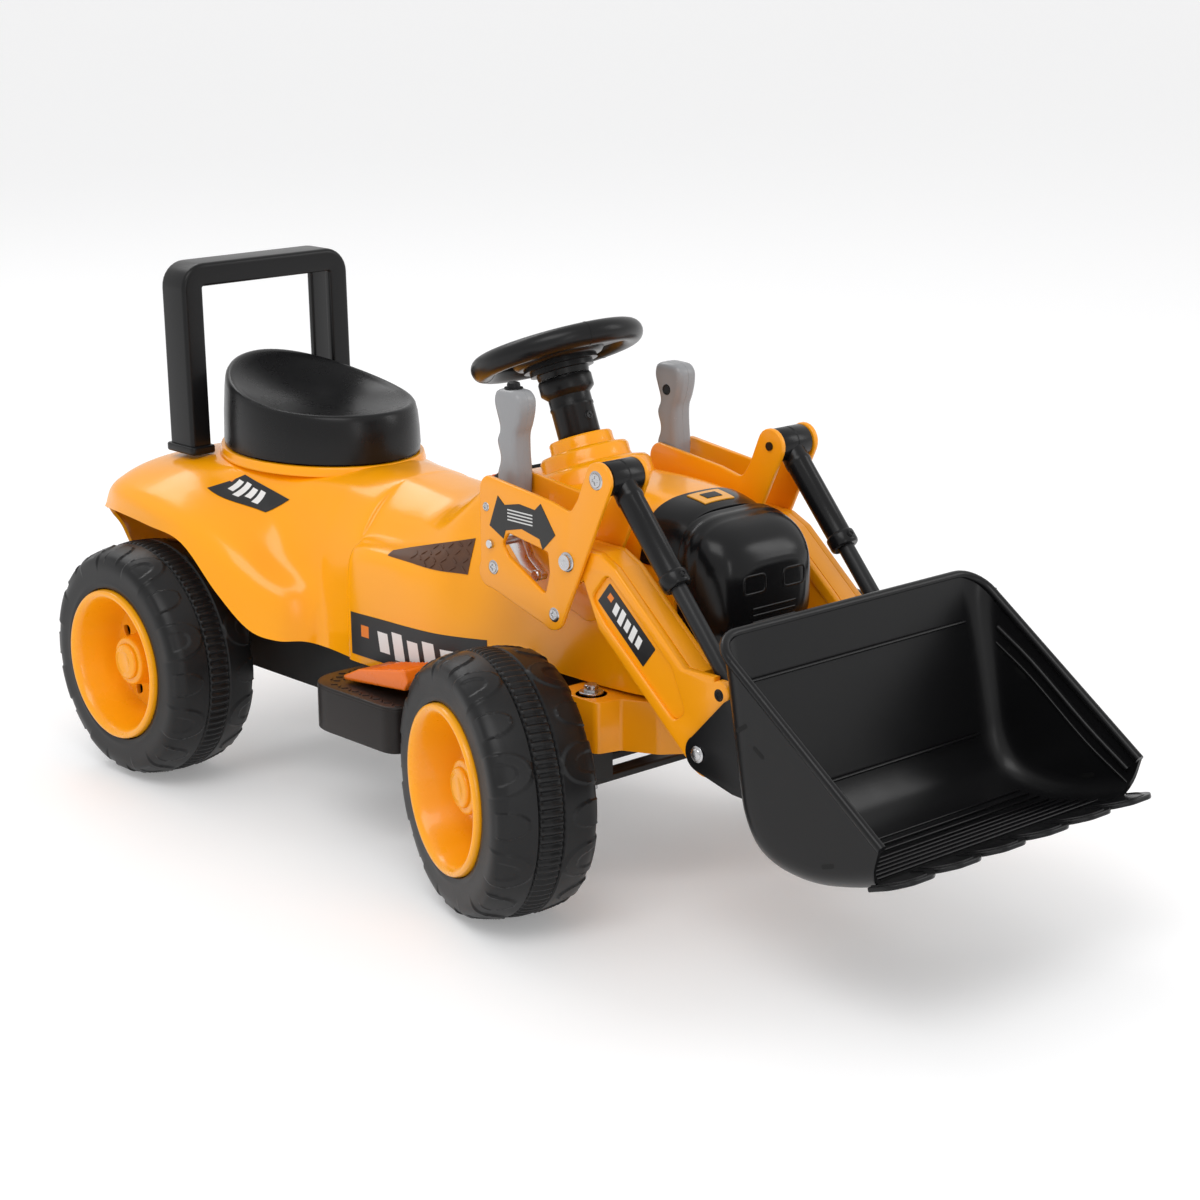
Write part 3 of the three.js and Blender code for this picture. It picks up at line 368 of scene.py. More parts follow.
def on_shell(y, across, off=0.0):
    """A point on the shell at y, with across from 0 (right lower edge) to 12 (left lower edge)."""
    j = min(across * across_steps, shell_skin.shape[1] - 1.001)
    column = int(j)
    line = shell_skin[:, column] * (column + 1 - j) + shell_skin[:, column + 1] * (j - column)
    i = int(np.argmax(line[:, 1] <= y))
    share = (line[i - 1, 1] - y) / (line[i - 1, 1] - line[i, 1])
    here = line[i - 1] * (1 - share) + line[i] * share
    side = shell_skin[i, column + 1] - shell_skin[i, column]
    normal = np.cross(line[i] - line[i - 1], side)
    return here + normal / np.linalg.norm(normal) * off


column_foot = Vector((0, front_axle, axle_height - 13))
up_column = Matrix.Translation(column_foot) @ Matrix.Rotation(-column_tilt, 4, "X")
boss = spun([(0, 240), (60, 240), (58, 272), (55, 276), (43, 279), (42, 282), (42, 290), (40, 293),
             (31, 294.5), (30, 297), (30, 304), (28.5, 306), (21.5, 306), (21, 304), (21, 250), (0, 250)],
            64, up_column)
piece("shell", [walled(shell_skin[::-1], -shell_wall), boss], shell_yellow, "chassis",
      ["body_shell"], angle=50)


# ---- Wheels ----
# Hollow blow-moulded wheels of hard black plastic, all four alike. A band of fine ribs runs
# round the tread between two grooves, and D-shaped lugs stand on both shoulders. A yellow
# dished rim with a hub boss and four drain holes snaps into each tyre.
wheel_radius = 120
tyre_width = 104
steer_at_rest = math.radians(-16)


def step(low, high, x):
    t = np.clip((x - low) / (high - low), 0, 1)
    return t * t * (3 - 2 * t)


def tyre_relief(angle, depth):
    """Height of the moulded tread over the plain tyre, in millimetres."""
    from_middle = np.abs(depth - tyre_width / 2)
    band = step(10.4, 9.6, from_middle)
    ribs = np.clip(np.sin(angle * 96) * 1.6, -1, 1) * 1.4 - 0.75
    grooves = -2.2 * np.exp(-((from_middle - 11.6) / 1.1) ** 4)
    relief = band * ribs + grooves
    inward = np.minimum(depth, tyre_width - depth)
    for count, turn, half, start, reach, rise in (
            (8, 0.0, 20.0, 5.0, 33.0, 1.3), (8, 0.0, 10.0, 8.5, 17.0, -1.0),
            (8, 0.5, 12.5, 7.0, 25.0, 1.2)):
        turn_size = 2 * np.pi / count
        off = (angle / turn_size + turn) % 1.0 - 0.5
        along = off * turn_size * wheel_radius / half
        up = (inward - start) / reach
        inside = 1 - along ** 2 - np.clip(up, 0, 2) ** 2.4
        flat_side = step(-0.12, 0.02, up)
        relief = relief + rise * step(-0.03, 0.13, inside) * flat_side
        relief = relief + 0.8 * np.exp(-((inside - 0.07) / 0.06) ** 2) * flat_side
    return relief


tyre_profile = smooth_through([(77.5, 16), (77.6, 6), (80, 3.4), (90, 3), (101, 3.4), (108.5, 6.5),
                               (113, 13), (115.4, 22), (117.2, 32), (118.4, 42), (119.2, 52)], 6)
tyre_profile = tyre_profile + [np.array([r, tyre_width - d]) for r, d in tyre_profile[-2::-1]]
around = 576
angles = np.arange(around) * 2 * np.pi / around
tyre_line = np.array(tyre_profile)
slope = np.gradient(tyre_line, axis=0)
slope /= np.linalg.norm(slope, axis=1, keepdims=True)
tyre_rows = []
for (r, d), (dr, dd) in zip(tyre_line, slope):
    rise = tyre_relief(angles, np.full(around, d)) * step(94, 104, r)
    rise = rise + 0.5 * np.exp(-((r - 83.5) / 1.0) ** 2)
    rr = r + rise * dd
    tyre_rows.append(np.stack([rr * np.cos(angles), rr * np.sin(angles), d - rise * dr], 1))
tyre_part = sheet_of([[tuple(p) for p in row] for row in tyre_rows], closed=True)
tyre_lining = spun([(77.5, 16), (77.5, 88)], 96)
tyre_web = spun([(22.6, 62), (72, 62), (72, 64), (22.6, 64), (22.6, 62)], 48)

tyre_black, s = new_finish("tyre_black")
scuff = noise(s, 26.0, 6.0, 0.65)
grain = noise(s, 900.0, 2.0)
surface(s, s.blend((0.0045, 0.0045, 0.005), (0.011, 0.011, 0.0115), scuff), 0.28 + 0.2 * scuff,
        height=grain, depth=0.00012, Specular_IOR_Level=0.28)


def rounded(corners, steps=5):
    """An outline through corners (x, y) or (x, y, radius), each radius as an arc."""
    out = []
    for i, corner in enumerate(corners):
        here = np.array(corner[:2], float)
        if len(corner) == 2:
            out.append(tuple(here))
            continue
        before = np.array(corners[i - 1][:2], float) - here
        after = np.array(corners[(i + 1) % len(corners)][:2], float) - here
        length_before, length_after = np.linalg.norm(before), np.linalg.norm(after)
        before /= length_before
        after /= length_after
        half = math.acos(np.clip(before @ after, -1, 1)) / 2
        run = min(corner[2] / math.tan(half), length_before * 0.49, length_after * 0.49)
        for k in range(steps + 1):
            t = k / steps
            out.append(tuple(here + before * run * (1 - t) ** 2 + after * run * t * t))
    return out


def board(outlines, low, high, edge=0.0, place=None):
    """A plate cut to outlines, the outside first and then its holes, with eased edges."""
    loops = []
    for i, outline in enumerate(outlines):
        line = np.array(outline, float)
        nxt = np.roll(line, -1, axis=0)
        area = np.sum(line[:, 0] * nxt[:, 1] - nxt[:, 0] * line[:, 1])
        loops.append(line if (area > 0) == (i == 0) else line[::-1])

    def inset(line, amount):
        ahead = np.roll(line, -1, axis=0) - line
        ahead /= np.maximum(np.linalg.norm(ahead, axis=1, keepdims=True), 1e-9)
        left = np.stack([-ahead[:, 1], ahead[:, 0]], 1)
        last = np.roll(left, 1, axis=0)
        meet = 1 + np.sum(left * last, axis=1, keepdims=True)
        return line + (left + last) / np.maximum(meet, 0.35) * amount

    levels = [(edge * (1 - math.sin(a)), edge * (1 - math.cos(a)))
              for a in (0, math.pi / 6, math.pi / 3, math.pi / 2)] if edge else [(0, 0)]
    heights = [(i, low + h) for i, h in levels] + [(i, high - h) for i, h in levels[::-1]]
    points = []
    faces = []
    for line in loops:
        rows = []
        for amount, h in heights:
            rows.append([(x, y, h) for x, y in inset(line, amount)])
        part = sheet_of(rows, closed=True)
        first = len(points)
        points += part[0]
        faces += [tuple(first + i for i in face) for face in part[1]]
    caps = [inset(line, edge) for line in loops]
    triangles = tessellate_polygon([[Vector((x, y, 0)) for x, y in line] for line in caps])
    flat = [(x, y) for line in caps for x, y in line]
    for h in (low, high):
        first = len(points)
        points += [(x, y, h) for x, y in flat]
        faces += [tuple(first + i for i in triangle) for triangle in triangles]
    return moved((points, faces), place)


def ring_of(radius, steps=24, x=0.0, y=0.0):
    return [(x + radius * math.cos(2 * math.pi * i / steps), y + radius * math.sin(2 * math.pi * i / steps))
            for i in range(steps)]


def drain_hole(turn):
    """A teardrop hole in the rim's web, its point outwards."""
    drop = [(40, 5.5), (43, 6.2), (46.5, 4.6), (51, 0), (46.5, -4.6), (43, -6.2), (40, -5.5),
            (37.6, -3.4), (36.8, 0), (37.6, 3.4)]
    return [(x * math.cos(turn) - y * math.sin(turn), x * math.sin(turn) + y * math.cos(turn))
            for x, y in drop]


rim_yellow = moulded("rim_yellow", (0.92, 0.37, 0.003), 0.28, depth=0.00005, shade=0.05, coat=0.25)
rim_dish = spun(smooth_through([(54, 46), (56.5, 41), (60, 30), (64.5, 14), (67.5, 4), (70.5, -0.4),
                                (73.5, -1.8), (76, -0.6), (77, 3), (77, 8)], 4)
                + [(77, 98), (73, 98), (72, 60), (56, 50), (54, 50), (54, 46)], 96)
drain_holes = [drain_hole(math.radians(a)) for a in (28, 118, 208, 298)]
rim_web = board([ring_of(54.6, 72)] + drain_holes, 44, 49, 0.6)
rim_boss = spun(smooth_through([(33, 44.2), (29.5, 43), (27, 38), (25.6, 28), (24.6, 21.5), (23, 19.6),
                                (20, 19.2)], 4)
                + [(7, 19.4), (7, 100), (20, 100), (22, 52), (33, 50), (33, 44.2)], 64)
cap_part = spun([(0, 15.4), (9.5, 15.4), (10.4, 14.9), (11.6, 14.9), (12.4, 15.4), (16, 15.2), (17.6, 15.9),
                 (18.4, 17.4), (18.6, 19), (0, 19)], 64)


def wheel_place(end, sign):
    turn = Matrix.Rotation(-sign * math.pi / 2, 4, "Y")
    if end == "rear":
        return Matrix.Translation((sign * 229, rear_axle, axle_height)) @ turn
    pin = Matrix.Translation((sign * 91, front_axle, 0)) @ Matrix.Rotation(steer_at_rest, 4, "Z")
    return pin @ Matrix.Translation((sign * 146, 0, axle_height)) @ turn


def copy_of(first, name, place, body, stands_for):
    """Another piece from the same tool: it shares its mesh and stands somewhere else."""
    made = bpy.data.objects.new(name, first.data)
    bpy.context.scene.collection.objects.link(made)
    set_place(made, place)
    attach(made, body)
    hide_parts(*stands_for)
    return made


def set_place(made, place):
    made.matrix_world = Matrix.Translation(place.translation * 0.001) @ place.to_3x3().to_4x4()


first_wheel = {}
for end in ("front", "rear"):
    for side, sign in (("right", -1), ("left", 1)):
        body = f"{end}_wheel_{side}"
        here = wheel_place(end, sign)
        for part_name, parts, paint, slot, angle in (
                ("tyre", [tyre_part, tyre_lining, tyre_web], tyre_black, "tyre_plastic", 50),
                ("rim", [rim_dish, rim_web, rim_boss], rim_yellow, "yellow_wheel", 40),
                ("hub_cap", [cap_part], rim_yellow, "yellow_wheel", 40)):
            name = f"{part_name}_moulding_{end}_{side}"
            node = f"{part_name}_{end}_{side}"
            if part_name in first_wheel:
                copy_of(first_wheel[part_name], name, here, body, [node])
                continue
            made = piece(name, parts, paint, body, [node], angle)
            made.parent = None
            set_place(made, here)
            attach(made, body)
            first_wheel[part_name] = made


# ---- Saddle ----
# A hard black plastic saddle, blow-moulded: tall plain sides, a rolled rim line, and a dished
# top that sweeps up into a low backrest. It drops over the pedestal's ring.
seat_y = rear_axle - 60
seat_base = axle_height + 203
seat_half_width = 90
seat_half_length = 117


def seat_rim_height(a):
    back = (0.5 + 0.5 * math.sin(a)) ** 2.2
    return 50 + 37 * back


def seat_ring(ring, height):
    """A ring of the saddle; height gives how far over its base each direction lies."""
    turns = [2 * math.pi * i / 72 for i in range(72)]
    return [(math.cos(a) * ring * seat_half_width, seat_y + math.sin(a) * ring * seat_half_length,
             seat_base + height(a)) for a in turns]


def dished(ring):
    t = ring / 0.87

    def height(a):
        dish = 43 + 4 * math.sin(a) * t
        return dish + (seat_rim_height(a) - 2.2 - dish) * t ** 2.1
    return seat_ring(ring, height)


# Each ring up the side: [size, share of the rim's height, lift].
seat_sides = [(0.955, 0.0, 0), (1.0, 0.0, 1.5), (1.008, 0.0, 8), (1.0, 0.5, 0), (0.985, 0.8, 0),
              (0.975, 1.0, -7), (0.968, 1.0, -3.4), (0.95, 1.0, -0.8), (0.925, 1.0, 0), (0.9, 1.0, -0.6),
              (0.87, 1.0, -2.2)]
seat_points = [seat_ring(0, lambda a: 0.2)]
for ring, share, lift in seat_sides:
    seat_points.append(seat_ring(ring, lambda a: share * seat_rim_height(a) + lift))
seat_points += [dished(ring) for ring in (0.82, 0.74, 0.64, 0.52, 0.4, 0.27, 0.14, 0.05)]
seat_points.append(seat_ring(0, lambda a: 43))
seat_black = moulded("seat_black", (0.006, 0.006, 0.0065), 0.28, grain=0.0006, depth=0.0001, shade=0.2)
piece("saddle", [sheet_of(seat_points, closed=True)], seat_black, "chassis", ["seat"],
      angle=60)


# ---- Roll bar ----
# A black moulded hoop of rounded box section behind the saddle, screwed to the shell through two
# flanged feet. A shallow groove runs up its front corners; the lighter grey strip laid in it is a
# painted highlight along the groove.
bar_x = 104
bar_base = axle_height + 201
bar_rise = 190
bar_foot_y = rear_axle + 44
bar_lean = 4
bar_thick = 24
bar_deep = 42


def sweep(line, section, up, closed=False):
    """A section of (across, up) points carried along a line."""
    path = [np.array(p, float) for p in line]
    rows = []
    for i, p in enumerate(path):
        before = path[i - 1] if i or closed else p
        after = path[(i + 1) % len(path)] if i + 1 < len(path) or closed else p
        ahead = (after - before) / np.linalg.norm(after - before)
        across = np.cross(ahead, up)
        across /= np.linalg.norm(across)
        over = np.cross(across, ahead)
        rows.append([tuple(p + across * a + over * b) for a, b in section])
    if closed:
        rows.append(rows[0])
    else:
        rows.insert(0, [tuple(path[0])] * len(section))
        rows.append([tuple(path[-1])] * len(section))
    return sheet_of(rows, closed=True)


hoop_line = [(bar_x - bar_thick / 2, 0)]
for i in range(9):
    a = math.pi / 2 * i / 8
    hoop_line.append((bar_x - 26 + 14 * math.cos(a), bar_rise - 26 + 14 * math.sin(a)))
hoop_line = hoop_line + [(-x, z) for x, z in hoop_line[::-1]]
hoop_path = [(x, bar_foot_y + bar_lean * z / bar_rise, bar_base + z) for x, z in hoop_line]
half_deep, half_thick = bar_deep / 2, bar_thick / 2
hoop_section = rounded([(-half_thick, -half_deep, 5), (half_thick, -half_deep, 5), (half_thick, -13, 1.5),
                        (half_thick - 1.6, -12.4, 0.8), (half_thick - 1.6, 12.4, 0.8), (half_thick, 13, 1.5),
                        (half_thick, half_deep, 5), (-half_thick, half_deep, 5)])
hoop_part = sweep(hoop_path, hoop_section, (0, 1, 0))
foot_parts = []
for sign in (-1, 1):
    low_x, high_x = sorted((sign * 77, sign * 107))
    low_y, high_y = bar_foot_y - 25, bar_foot_y + 25
    foot = rounded([(low_x, low_y, 6), (high_x, low_y, 6), (high_x, high_y, 6), (low_x, high_y, 6)])
    foot_parts.append(board([foot], bar_base - 6, bar_base + 2.4, 1.8))
bar_black = moulded("bar_black", (0.006, 0.006, 0.0065), 0.3, grain=0.0007, depth=0.0001, shade=0.15)
piece("roll_hoop", [hoop_part] + foot_parts, bar_black, "chassis", ["roll_bar"], angle=45)
strip_section = rounded([(-0.4, -4.6, 0.4), (0.4, -4.6, 0.4), (0.4, 4.6, 0.4), (-0.4, 4.6, 0.4)], 2)
strip_line = []
for p, (x, z) in zip(hoop_path, hoop_line):
    centre_x = min(max(x, -(bar_x - 26)), bar_x - 26)
    centre_z = min(z, bar_rise - 26)
    out = np.array([x - centre_x, 0, z - centre_z])
    out = out / max(np.linalg.norm(out), 1e-6)
    strip_line.append(tuple(np.array(p) + out * (half_thick - 1.5)))
# The strip's lighter grey and its mottling are a painted highlight on the black bar.
painted_highlight_strip, s = new_finish("painted_highlight_strip")
strip_mottle = noise(s, 60.0, 5.0)
surface(s, s.blend((0.10, 0.10, 0.105), (0.17, 0.17, 0.175), strip_mottle), 0.3 + 0.15 * strip_mottle, Metallic=0.4)
strip_part = sweep([p for p in strip_line if p[2] > bar_base + 6], strip_section, (0, 1, 0))
piece("roll_hoop_strip", [strip_part], painted_highlight_strip, "chassis", ["roll_bar"], angle=45)


# ---- Loader arm brackets ----
# Four thick yellow plates with rounded edges bolted to the shell's shoulders, an outer and an
# inner one each side. The lever hooks work in the window between them, and dark countersunk
# screws and a chrome pivot rod hold the loader arms.
arm_pivot = (front_axle - 11, axle_height + 197)
cylinder_pivot = (front_axle - 51, axle_height + 275)
bucket_pivot = (front_axle - 174, axle_height + 61)
lever_pivot = (rear_axle - 485, axle_height + 195)
rod_pin = (front_axle - 192, axle_height + 115)


def arc(y, z, radius, start, end, steps=8):
    """Points on an arc, in degrees."""
    turn = [math.radians(start + (end - start) * i / steps) for i in range(steps + 1)]
    return [(y + radius * math.cos(a), z + radius * math.sin(a)) for a in turn]


def side_plane(x):
    """A frame whose sheet coordinates are (y, z) and whose height is measured along x."""
    return Matrix(((0, 0, 1, x), (1, 0, 0, 0), (0, 1, 0, 0), (0, 0, 0, 1)))


def around_pivot(pivot, outline):
    return [(pivot[0] + y, pivot[1] + z) for y, z in outline]


bracket_outline = around_pivot(arm_pivot, arc(-40, 78, 16, 205, 20, 12) + rounded(
    [(-25, 83), (-14, 58, 10), (-4, 44, 10), (24, 50, 16), (100, 60)])[1:-1] + arc(104, 46, 14, 80, 0, 6)
    + [(118, -20)] + arc(106, -28, 15, 10, -100, 8) + arc(22, -50, 16, -55, -165, 8))
bracket_window = around_pivot(arm_pivot, rounded([(24, -14, 3), (26, 4, 3), (80, 12, 5), (88, 0, 4),
                                                  (80, -10, 5), (30, -36, 5)], 3))
plate_yellow = moulded("plate_yellow", (0.90, 0.33, 0.002), 0.3, depth=0.00006, shade=0.05, coat=0.2)
pivot_steel, s = new_finish("pivot_steel")
wear = noise(s, 240.0)
surface(s, s.blend((0.42, 0.42, 0.43), (0.62, 0.62, 0.63), wear), 0.16 + 0.2 * wear, Metallic=1.0)
screw_black = moulded("screw_black", (0.005, 0.005, 0.0055), 0.36, depth=0.00005, shade=0.2)


def screw(radius, height):
    """A round screw head with a cross recess, its top at height and its centre on the axis."""
    cross = []
    for i in range(4):
        a = i * math.pi / 2
        for x, y in ((0.2, 0.2), (0.62, 0.13), (0.62, -0.13)):
            cross.append((radius * (x * math.cos(a) + y * math.sin(a)),
                          radius * (x * math.sin(a) - y * math.cos(a))))
    head = board([ring_of(radius * 0.98, 32), cross], height - 0.9, height, 0.35)
    floor = spun([(0, height - 0.7), (radius * 0.8, height - 0.7), (radius * 0.8, 0), (0, 0)], 24)
    rim = spun([(radius * 0.96, 0), (radius * 1.02, height - 0.6), (radius * 1.25, height - 0.9),
                (radius * 1.35, 0)], 32)
    return [head, floor, rim]


def side_board(outlines, sign, near, far, edge=0.0):
    """A board standing along the digger, from x near to x far on one side of it."""
    low, high = sorted((sign * near, sign * far))
    return board(outlines, low, high, edge, side_plane(0))


def facing_out(sign, x, spot):
    """A frame on the digger's side at x, its height pointing away from the middle."""
    return Matrix.Translation((sign * x, *spot)) @ Matrix.Rotation(sign * math.pi / 2, 4, "Y")


plate_screws = [(-180, 395, 6.4), (-33, 348, 3.2), (-42, 294, 5.0), (-124, 266, 5.0)]
for side, sign in (("right", -1), ("left", 1)):
    for row, near in (("outer", 122.5), ("inner", 80.5)):
        piece(f"bracket_plate_{row}_{side}",
              [side_board([bracket_outline, bracket_window], sign, near, near + 5, 1.6)],
              plate_yellow, "chassis", [f"bracket_{row}_{side}"], angle=45)
    heads = []
    for y, z, radius in plate_screws:
        heads += [moved(part, facing_out(sign, 127.3, (y, z))) for part in screw(radius, 1.5)]
    piece(f"bracket_screws_{side}", heads, pivot_steel, "chassis", [f"bracket_outer_{side}"],
          angle=40)
    washer = spun([(0, 0), (8.6, 0), (8.8, 0.9), (8.2, 1.4), (6.4, 1.5), (6.0, 2.2), (5.0, 3.4), (2.6, 4.1),
                   (0, 4.3)], 40)
    washer_place = facing_out(sign, 127.4, arm_pivot)
    piece(f"arm_pivot_head_{side}", [moved(washer, washer_place)], pivot_steel, "chassis",
          [f"bracket_outer_{side}"], angle=50)


# ---- Loader arms ----
# Yellow box-section moulded arms, hollow, with a raised long rail along both edges and a sunk
# panel between. They hang on the chrome rod through the brackets, and a cross tube ties them.
reach = math.atan2(136, 163)


def along(t, d):
    return (arm_pivot[0] - math.cos(reach) * t - math.sin(reach) * d,
            arm_pivot[1] - math.sin(reach) * t + math.cos(reach) * d)


arm_heel = around_pivot(bucket_pivot, arc(0, 0, 22, 170, 300, 10)) + [along(60, -22)]
arm_head = (around_pivot(arm_pivot, arc(0, 0, 20, -130, 40, 14))
            + rounded([along(8, 24), (*along(18, 30), 9), (*along(40, 36), 9), along(150, 36)])[1:])
arm_tip = ([(rod_pin[0] + 6, rod_pin[1] + 14)] + around_pivot(rod_pin, arc(0, 0, 12, 60, 180, 8))
           + [(-327, 189)])
arm_outline = arm_head + arm_tip + arm_heel
arm_core = arm_head + [(rod_pin[0] + 26, 248.6), (rod_pin[0] + 26, 219), (-332, 219), (-327, 189)] + arm_heel
arm_panel = [along(36, 25), along(140, 25), along(176, 8), along(172, -9), along(62, -12), along(36, -8)]
arm_recess = rounded([(*p, 8) for p in arm_panel], 4)
arm_floor = rounded([(*p, 9) for p in arm_panel], 4)
for side, sign in (("right", -1), ("left", 1)):
    parts = [side_board([arm_outline, arm_recess], sign, 112, 121, 2),
             side_board([arm_outline, arm_recess], sign, 87, 94, 2),
             side_board([arm_core], sign, 93.5, 112.5, 0.2),
             side_board([arm_floor], sign, 89.5, 117.6),
             moved(spun([(0, 0), (3, 0), (3, 30), (0, 30)], 24), facing_out(sign, 89, rod_pin))]
    piece(f"arm_moulding_{side}", parts, plate_yellow, "loader_arms", [f"loader_arm_{side}"],
          angle=45)
    head = [moved(part, facing_out(sign, 120.8, rod_pin)) for part in screw(4.2, 1.2)]
    piece(f"rod_pin_head_{side}", head, screw_black, "loader_arms", [f"loader_arm_{side}"],
          angle=40)
tie_place = side_plane(0) @ Matrix.Translation((bucket_pivot[0] + 34, bucket_pivot[1] + 28, 0))
tie_tube = spun([(0, -86.5), (7.6, -86.5), (9, -85), (9, -60), (8.2, -59), (8.2, 59), (9, 60), (9, 85),
                 (7.6, 86.5), (0, 86.5)], 36, tie_place)
piece("arm_tie_tube", [tie_tube], screw_black, "loader_arms", ["arm_cross_tube"])


# ---- Cylinders ----
# Black plastic dummies of hydraulic cylinders. A fat head tube turns on the rod between the
# brackets; a thinner rod slides in the barrel, and its eye rides loosely on the arm's pin.
cylinder_x = 103
lean_y = rod_pin[0] - cylinder_pivot[0]
lean_z = rod_pin[1] - cylinder_pivot[1]
cylinder_run = math.hypot(lean_y, lean_z)
cylinder_black = moulded("cylinder_black", (0.006, 0.006, 0.0065), 0.26, grain=0.0007, depth=0.00006,
                         shade=0.15)
rod_grey = moulded("rod_grey", (0.016, 0.016, 0.017), 0.32, grain=0.0006, depth=0.00006, shade=0.15)
barrel_profile = [(0, 4), (11.6, 4), (11.9, 18), (12.2, 19), (12.2, 24), (11.5, 25), (11.3, 98),
                  (12.8, 99.4), (13.2, 101), (13.2, 109), (12.6, 111), (11.4, 112), (8, 112), (8, 22),
                  (0, 22)]
tube_profile = [(0, -18.1), (13.4, -18.1), (14.6, -17.6), (15, -16.6), (15, -1.2), (14.4, -0.7), (14.4, 0.7),
                (15, 1.2), (15, 16.6), (14.6, 17.6), (13.4, 18.1), (0, 18.1)]
for side, sign in (("right", -1), ("left", 1)):
    down = Vector((0, lean_y, lean_z)).normalized()
    across = Vector((1, 0, 0))
    third = down.cross(across)
    here = Matrix.Translation((sign * cylinder_x, *cylinder_pivot)) @ Matrix((
        (across.x, third.x, down.x, 0), (across.y, third.y, down.y, 0),
        (across.z, third.z, down.z, 0), (0, 0, 0, 1)))
    sideways = here @ Matrix.Rotation(math.pi / 2, 4, "Y")
    lug = Matrix.Translation((0, 11, 105)) @ Matrix.Rotation(-math.pi / 2, 4, "X")
    lug_parts = [moved(part, here @ lug) for part in screw(3.0, 3.4)]
    pivot_pin = spun([(0, -24), (4, -24), (4, 24), (0, 24)], 24)
    body_parts = [moved(spun(barrel_profile, 48), here), moved(spun(tube_profile, 56), sideways),
                  moved(pivot_pin, sideways)]
    piece(f"cylinder_body_{side}", body_parts + lug_parts, cylinder_black, f"barrel_{side}",
          [f"cylinder_barrel_{side}"], angle=35)
    rod = spun([(0, 76), (7.4, 76), (7.4, 196), (7.0, cylinder_run - 8), (0, cylinder_run - 8)], 40)
    eye = spun([(5.6, -7), (8.9, -7), (9.5, -6.2), (9.5, 6.2), (8.9, 7), (5.6, 7), (5.6, -7)], 40)
    eye_place = here @ Matrix.Translation((0, 0, cylinder_run)) @ Matrix.Rotation(math.pi / 2, 4, "Y")
    piece(f"cylinder_stem_{side}", [moved(rod, here), moved(eye, eye_place)], rod_grey, f"piston_{side}",
          [f"cylinder_rod_{side}"], angle=35)


# ---- Levers ----
# Silver-grey moulded pistol grips with finger grooves, each pushed onto a flat bright steel bar
# whose hooked lower end works in the bracket's window. The right grip has a thumb button.
lever_x = 98
grip_grey = moulded("grip_grey", (0.27, 0.272, 0.28), 0.26, grain=0.0005, depth=0.00005, shade=0.06)
bar_steel, s = new_finish("bar_steel")
rolled = noise(s, 160.0, 5.0)
surface(s, s.blend((0.50, 0.50, 0.51), (0.68, 0.68, 0.69), rolled), 0.18 + 0.22 * rolled, Metallic=1.0)
grip_controls = [(10, 40), (13, 52), (13, 62), (10, 70), (9.4, 77), (12.4, 86), (12.8, 92), (9.6, 99),
                 (9.8, 105), (13, 114), (16, 124), (14.5, 133), (8, 136.6), (-4, 137), (-14, 135.6),
                 (-19.6, 129), (-19.6, 118), (-16.4, 106), (-12.6, 96), (-12.4, 80), (-13.8, 62), (-13, 46),
                 (-12, 40)]
grip_outline = [tuple(p) for p in smooth_through(grip_controls, 4)]
hook_outline = rounded([(8, 46), (-8, 46), (-12, 4, 8), (-22, -14, 6), (-40, -26, 4), (-37, -33, 4),
                        (-22, -26, 5), (-10, -22, 6), (8, -4, 8)], 3)
grip_seam = [(y * 1.012, 88 + (z - 88) * 1.003) for y, z in grip_outline]
lever_rod = spun([(0, 77.5), (3.4, 77.5), (4, 78.1), (4, 129.9), (3.4, 130.5), (0, 130.5)], 28)
hook_knob = spun([(0, 0), (4.6, 0), (5.2, 1), (5.2, 3.5), (4.4, 4.4), (0, 4.6)], 28)
for side, sign in (("right", -1), ("left", 1)):
    hook = side_board([around_pivot(lever_pivot, hook_outline)], sign, lever_x - 4, lever_x + 4, 0.9)
    knob_spot = (lever_pivot[0] - 34, lever_pivot[1] - 27)
    piece(f"lever_hook_{side}", [hook, moved(lever_rod, facing_out(sign, 0, lever_pivot)),
                                 moved(hook_knob, facing_out(sign, lever_x + 3.6, knob_spot))],
          bar_steel, f"lever_{side}", [f"lever_bar_{side}"], angle=40)
    grip = side_board([around_pivot(lever_pivot, grip_outline)], sign, lever_x - 11.5, lever_x + 11.5, 5.5)
    seam = side_board([around_pivot(lever_pivot, grip_seam)], sign, lever_x - 0.5, lever_x + 0.5, 0.2)
    piece(f"lever_handle_{side}", [grip, seam], grip_grey, f"lever_{side}", [f"lever_grip_{side}"],
          angle=35)
thumb_place = Matrix.Translation((-lever_x, *lever_pivot))
thumb = spun([(0, 128), (5.6, 128), (6, 129), (6, 140.6), (5.4, 142.2), (3.6, 142.9), (0, 143)], 36)
piece("thumb_knob", [moved(thumb, thumb_place)], screw_black, "thumb_button", ["lever_button"])
collar = spun([(6.2, 136.5), (8.6, 136.5), (8.4, 138), (6.4, 138.2), (6.2, 136.5)], 36)
piece("thumb_collar", [moved(collar, thumb_place)], screw_black, "lever_right", ["lever_grip_right"])
hole_place = (Matrix.Translation((lever_x - 11.4, lever_pivot[0] - 2, lever_pivot[1] + 112))
              @ Matrix.Rotation(-math.pi / 2, 4, "Y"))
hole_ring = spun([(0, 0.2), (3.4, 0.2), (4.0, 0.8), (4.8, 0.8), (5.2, 0), (5.2, -1), (0, -1)], 32)
piece("grip_socket", [moved(hole_ring, hole_place)], screw_black, "lever_left", ["lever_grip_left"])


# ---- Bucket ----
# One black moulding: a curved back and ridged floor ending in six rounded teeth, side walls with
# a rolled rim and a slanting stiffening rib, and four ears that swing on a chrome rod.
bucket_half = 164
bucket_black = moulded("bucket_black", (0.005, 0.005, 0.0055), 0.3, grain=0.0011, depth=0.00012, shade=0.18)


def in_bucket(points):
    return [(bucket_pivot[0] + y, bucket_pivot[1] + z) for y, z in points]


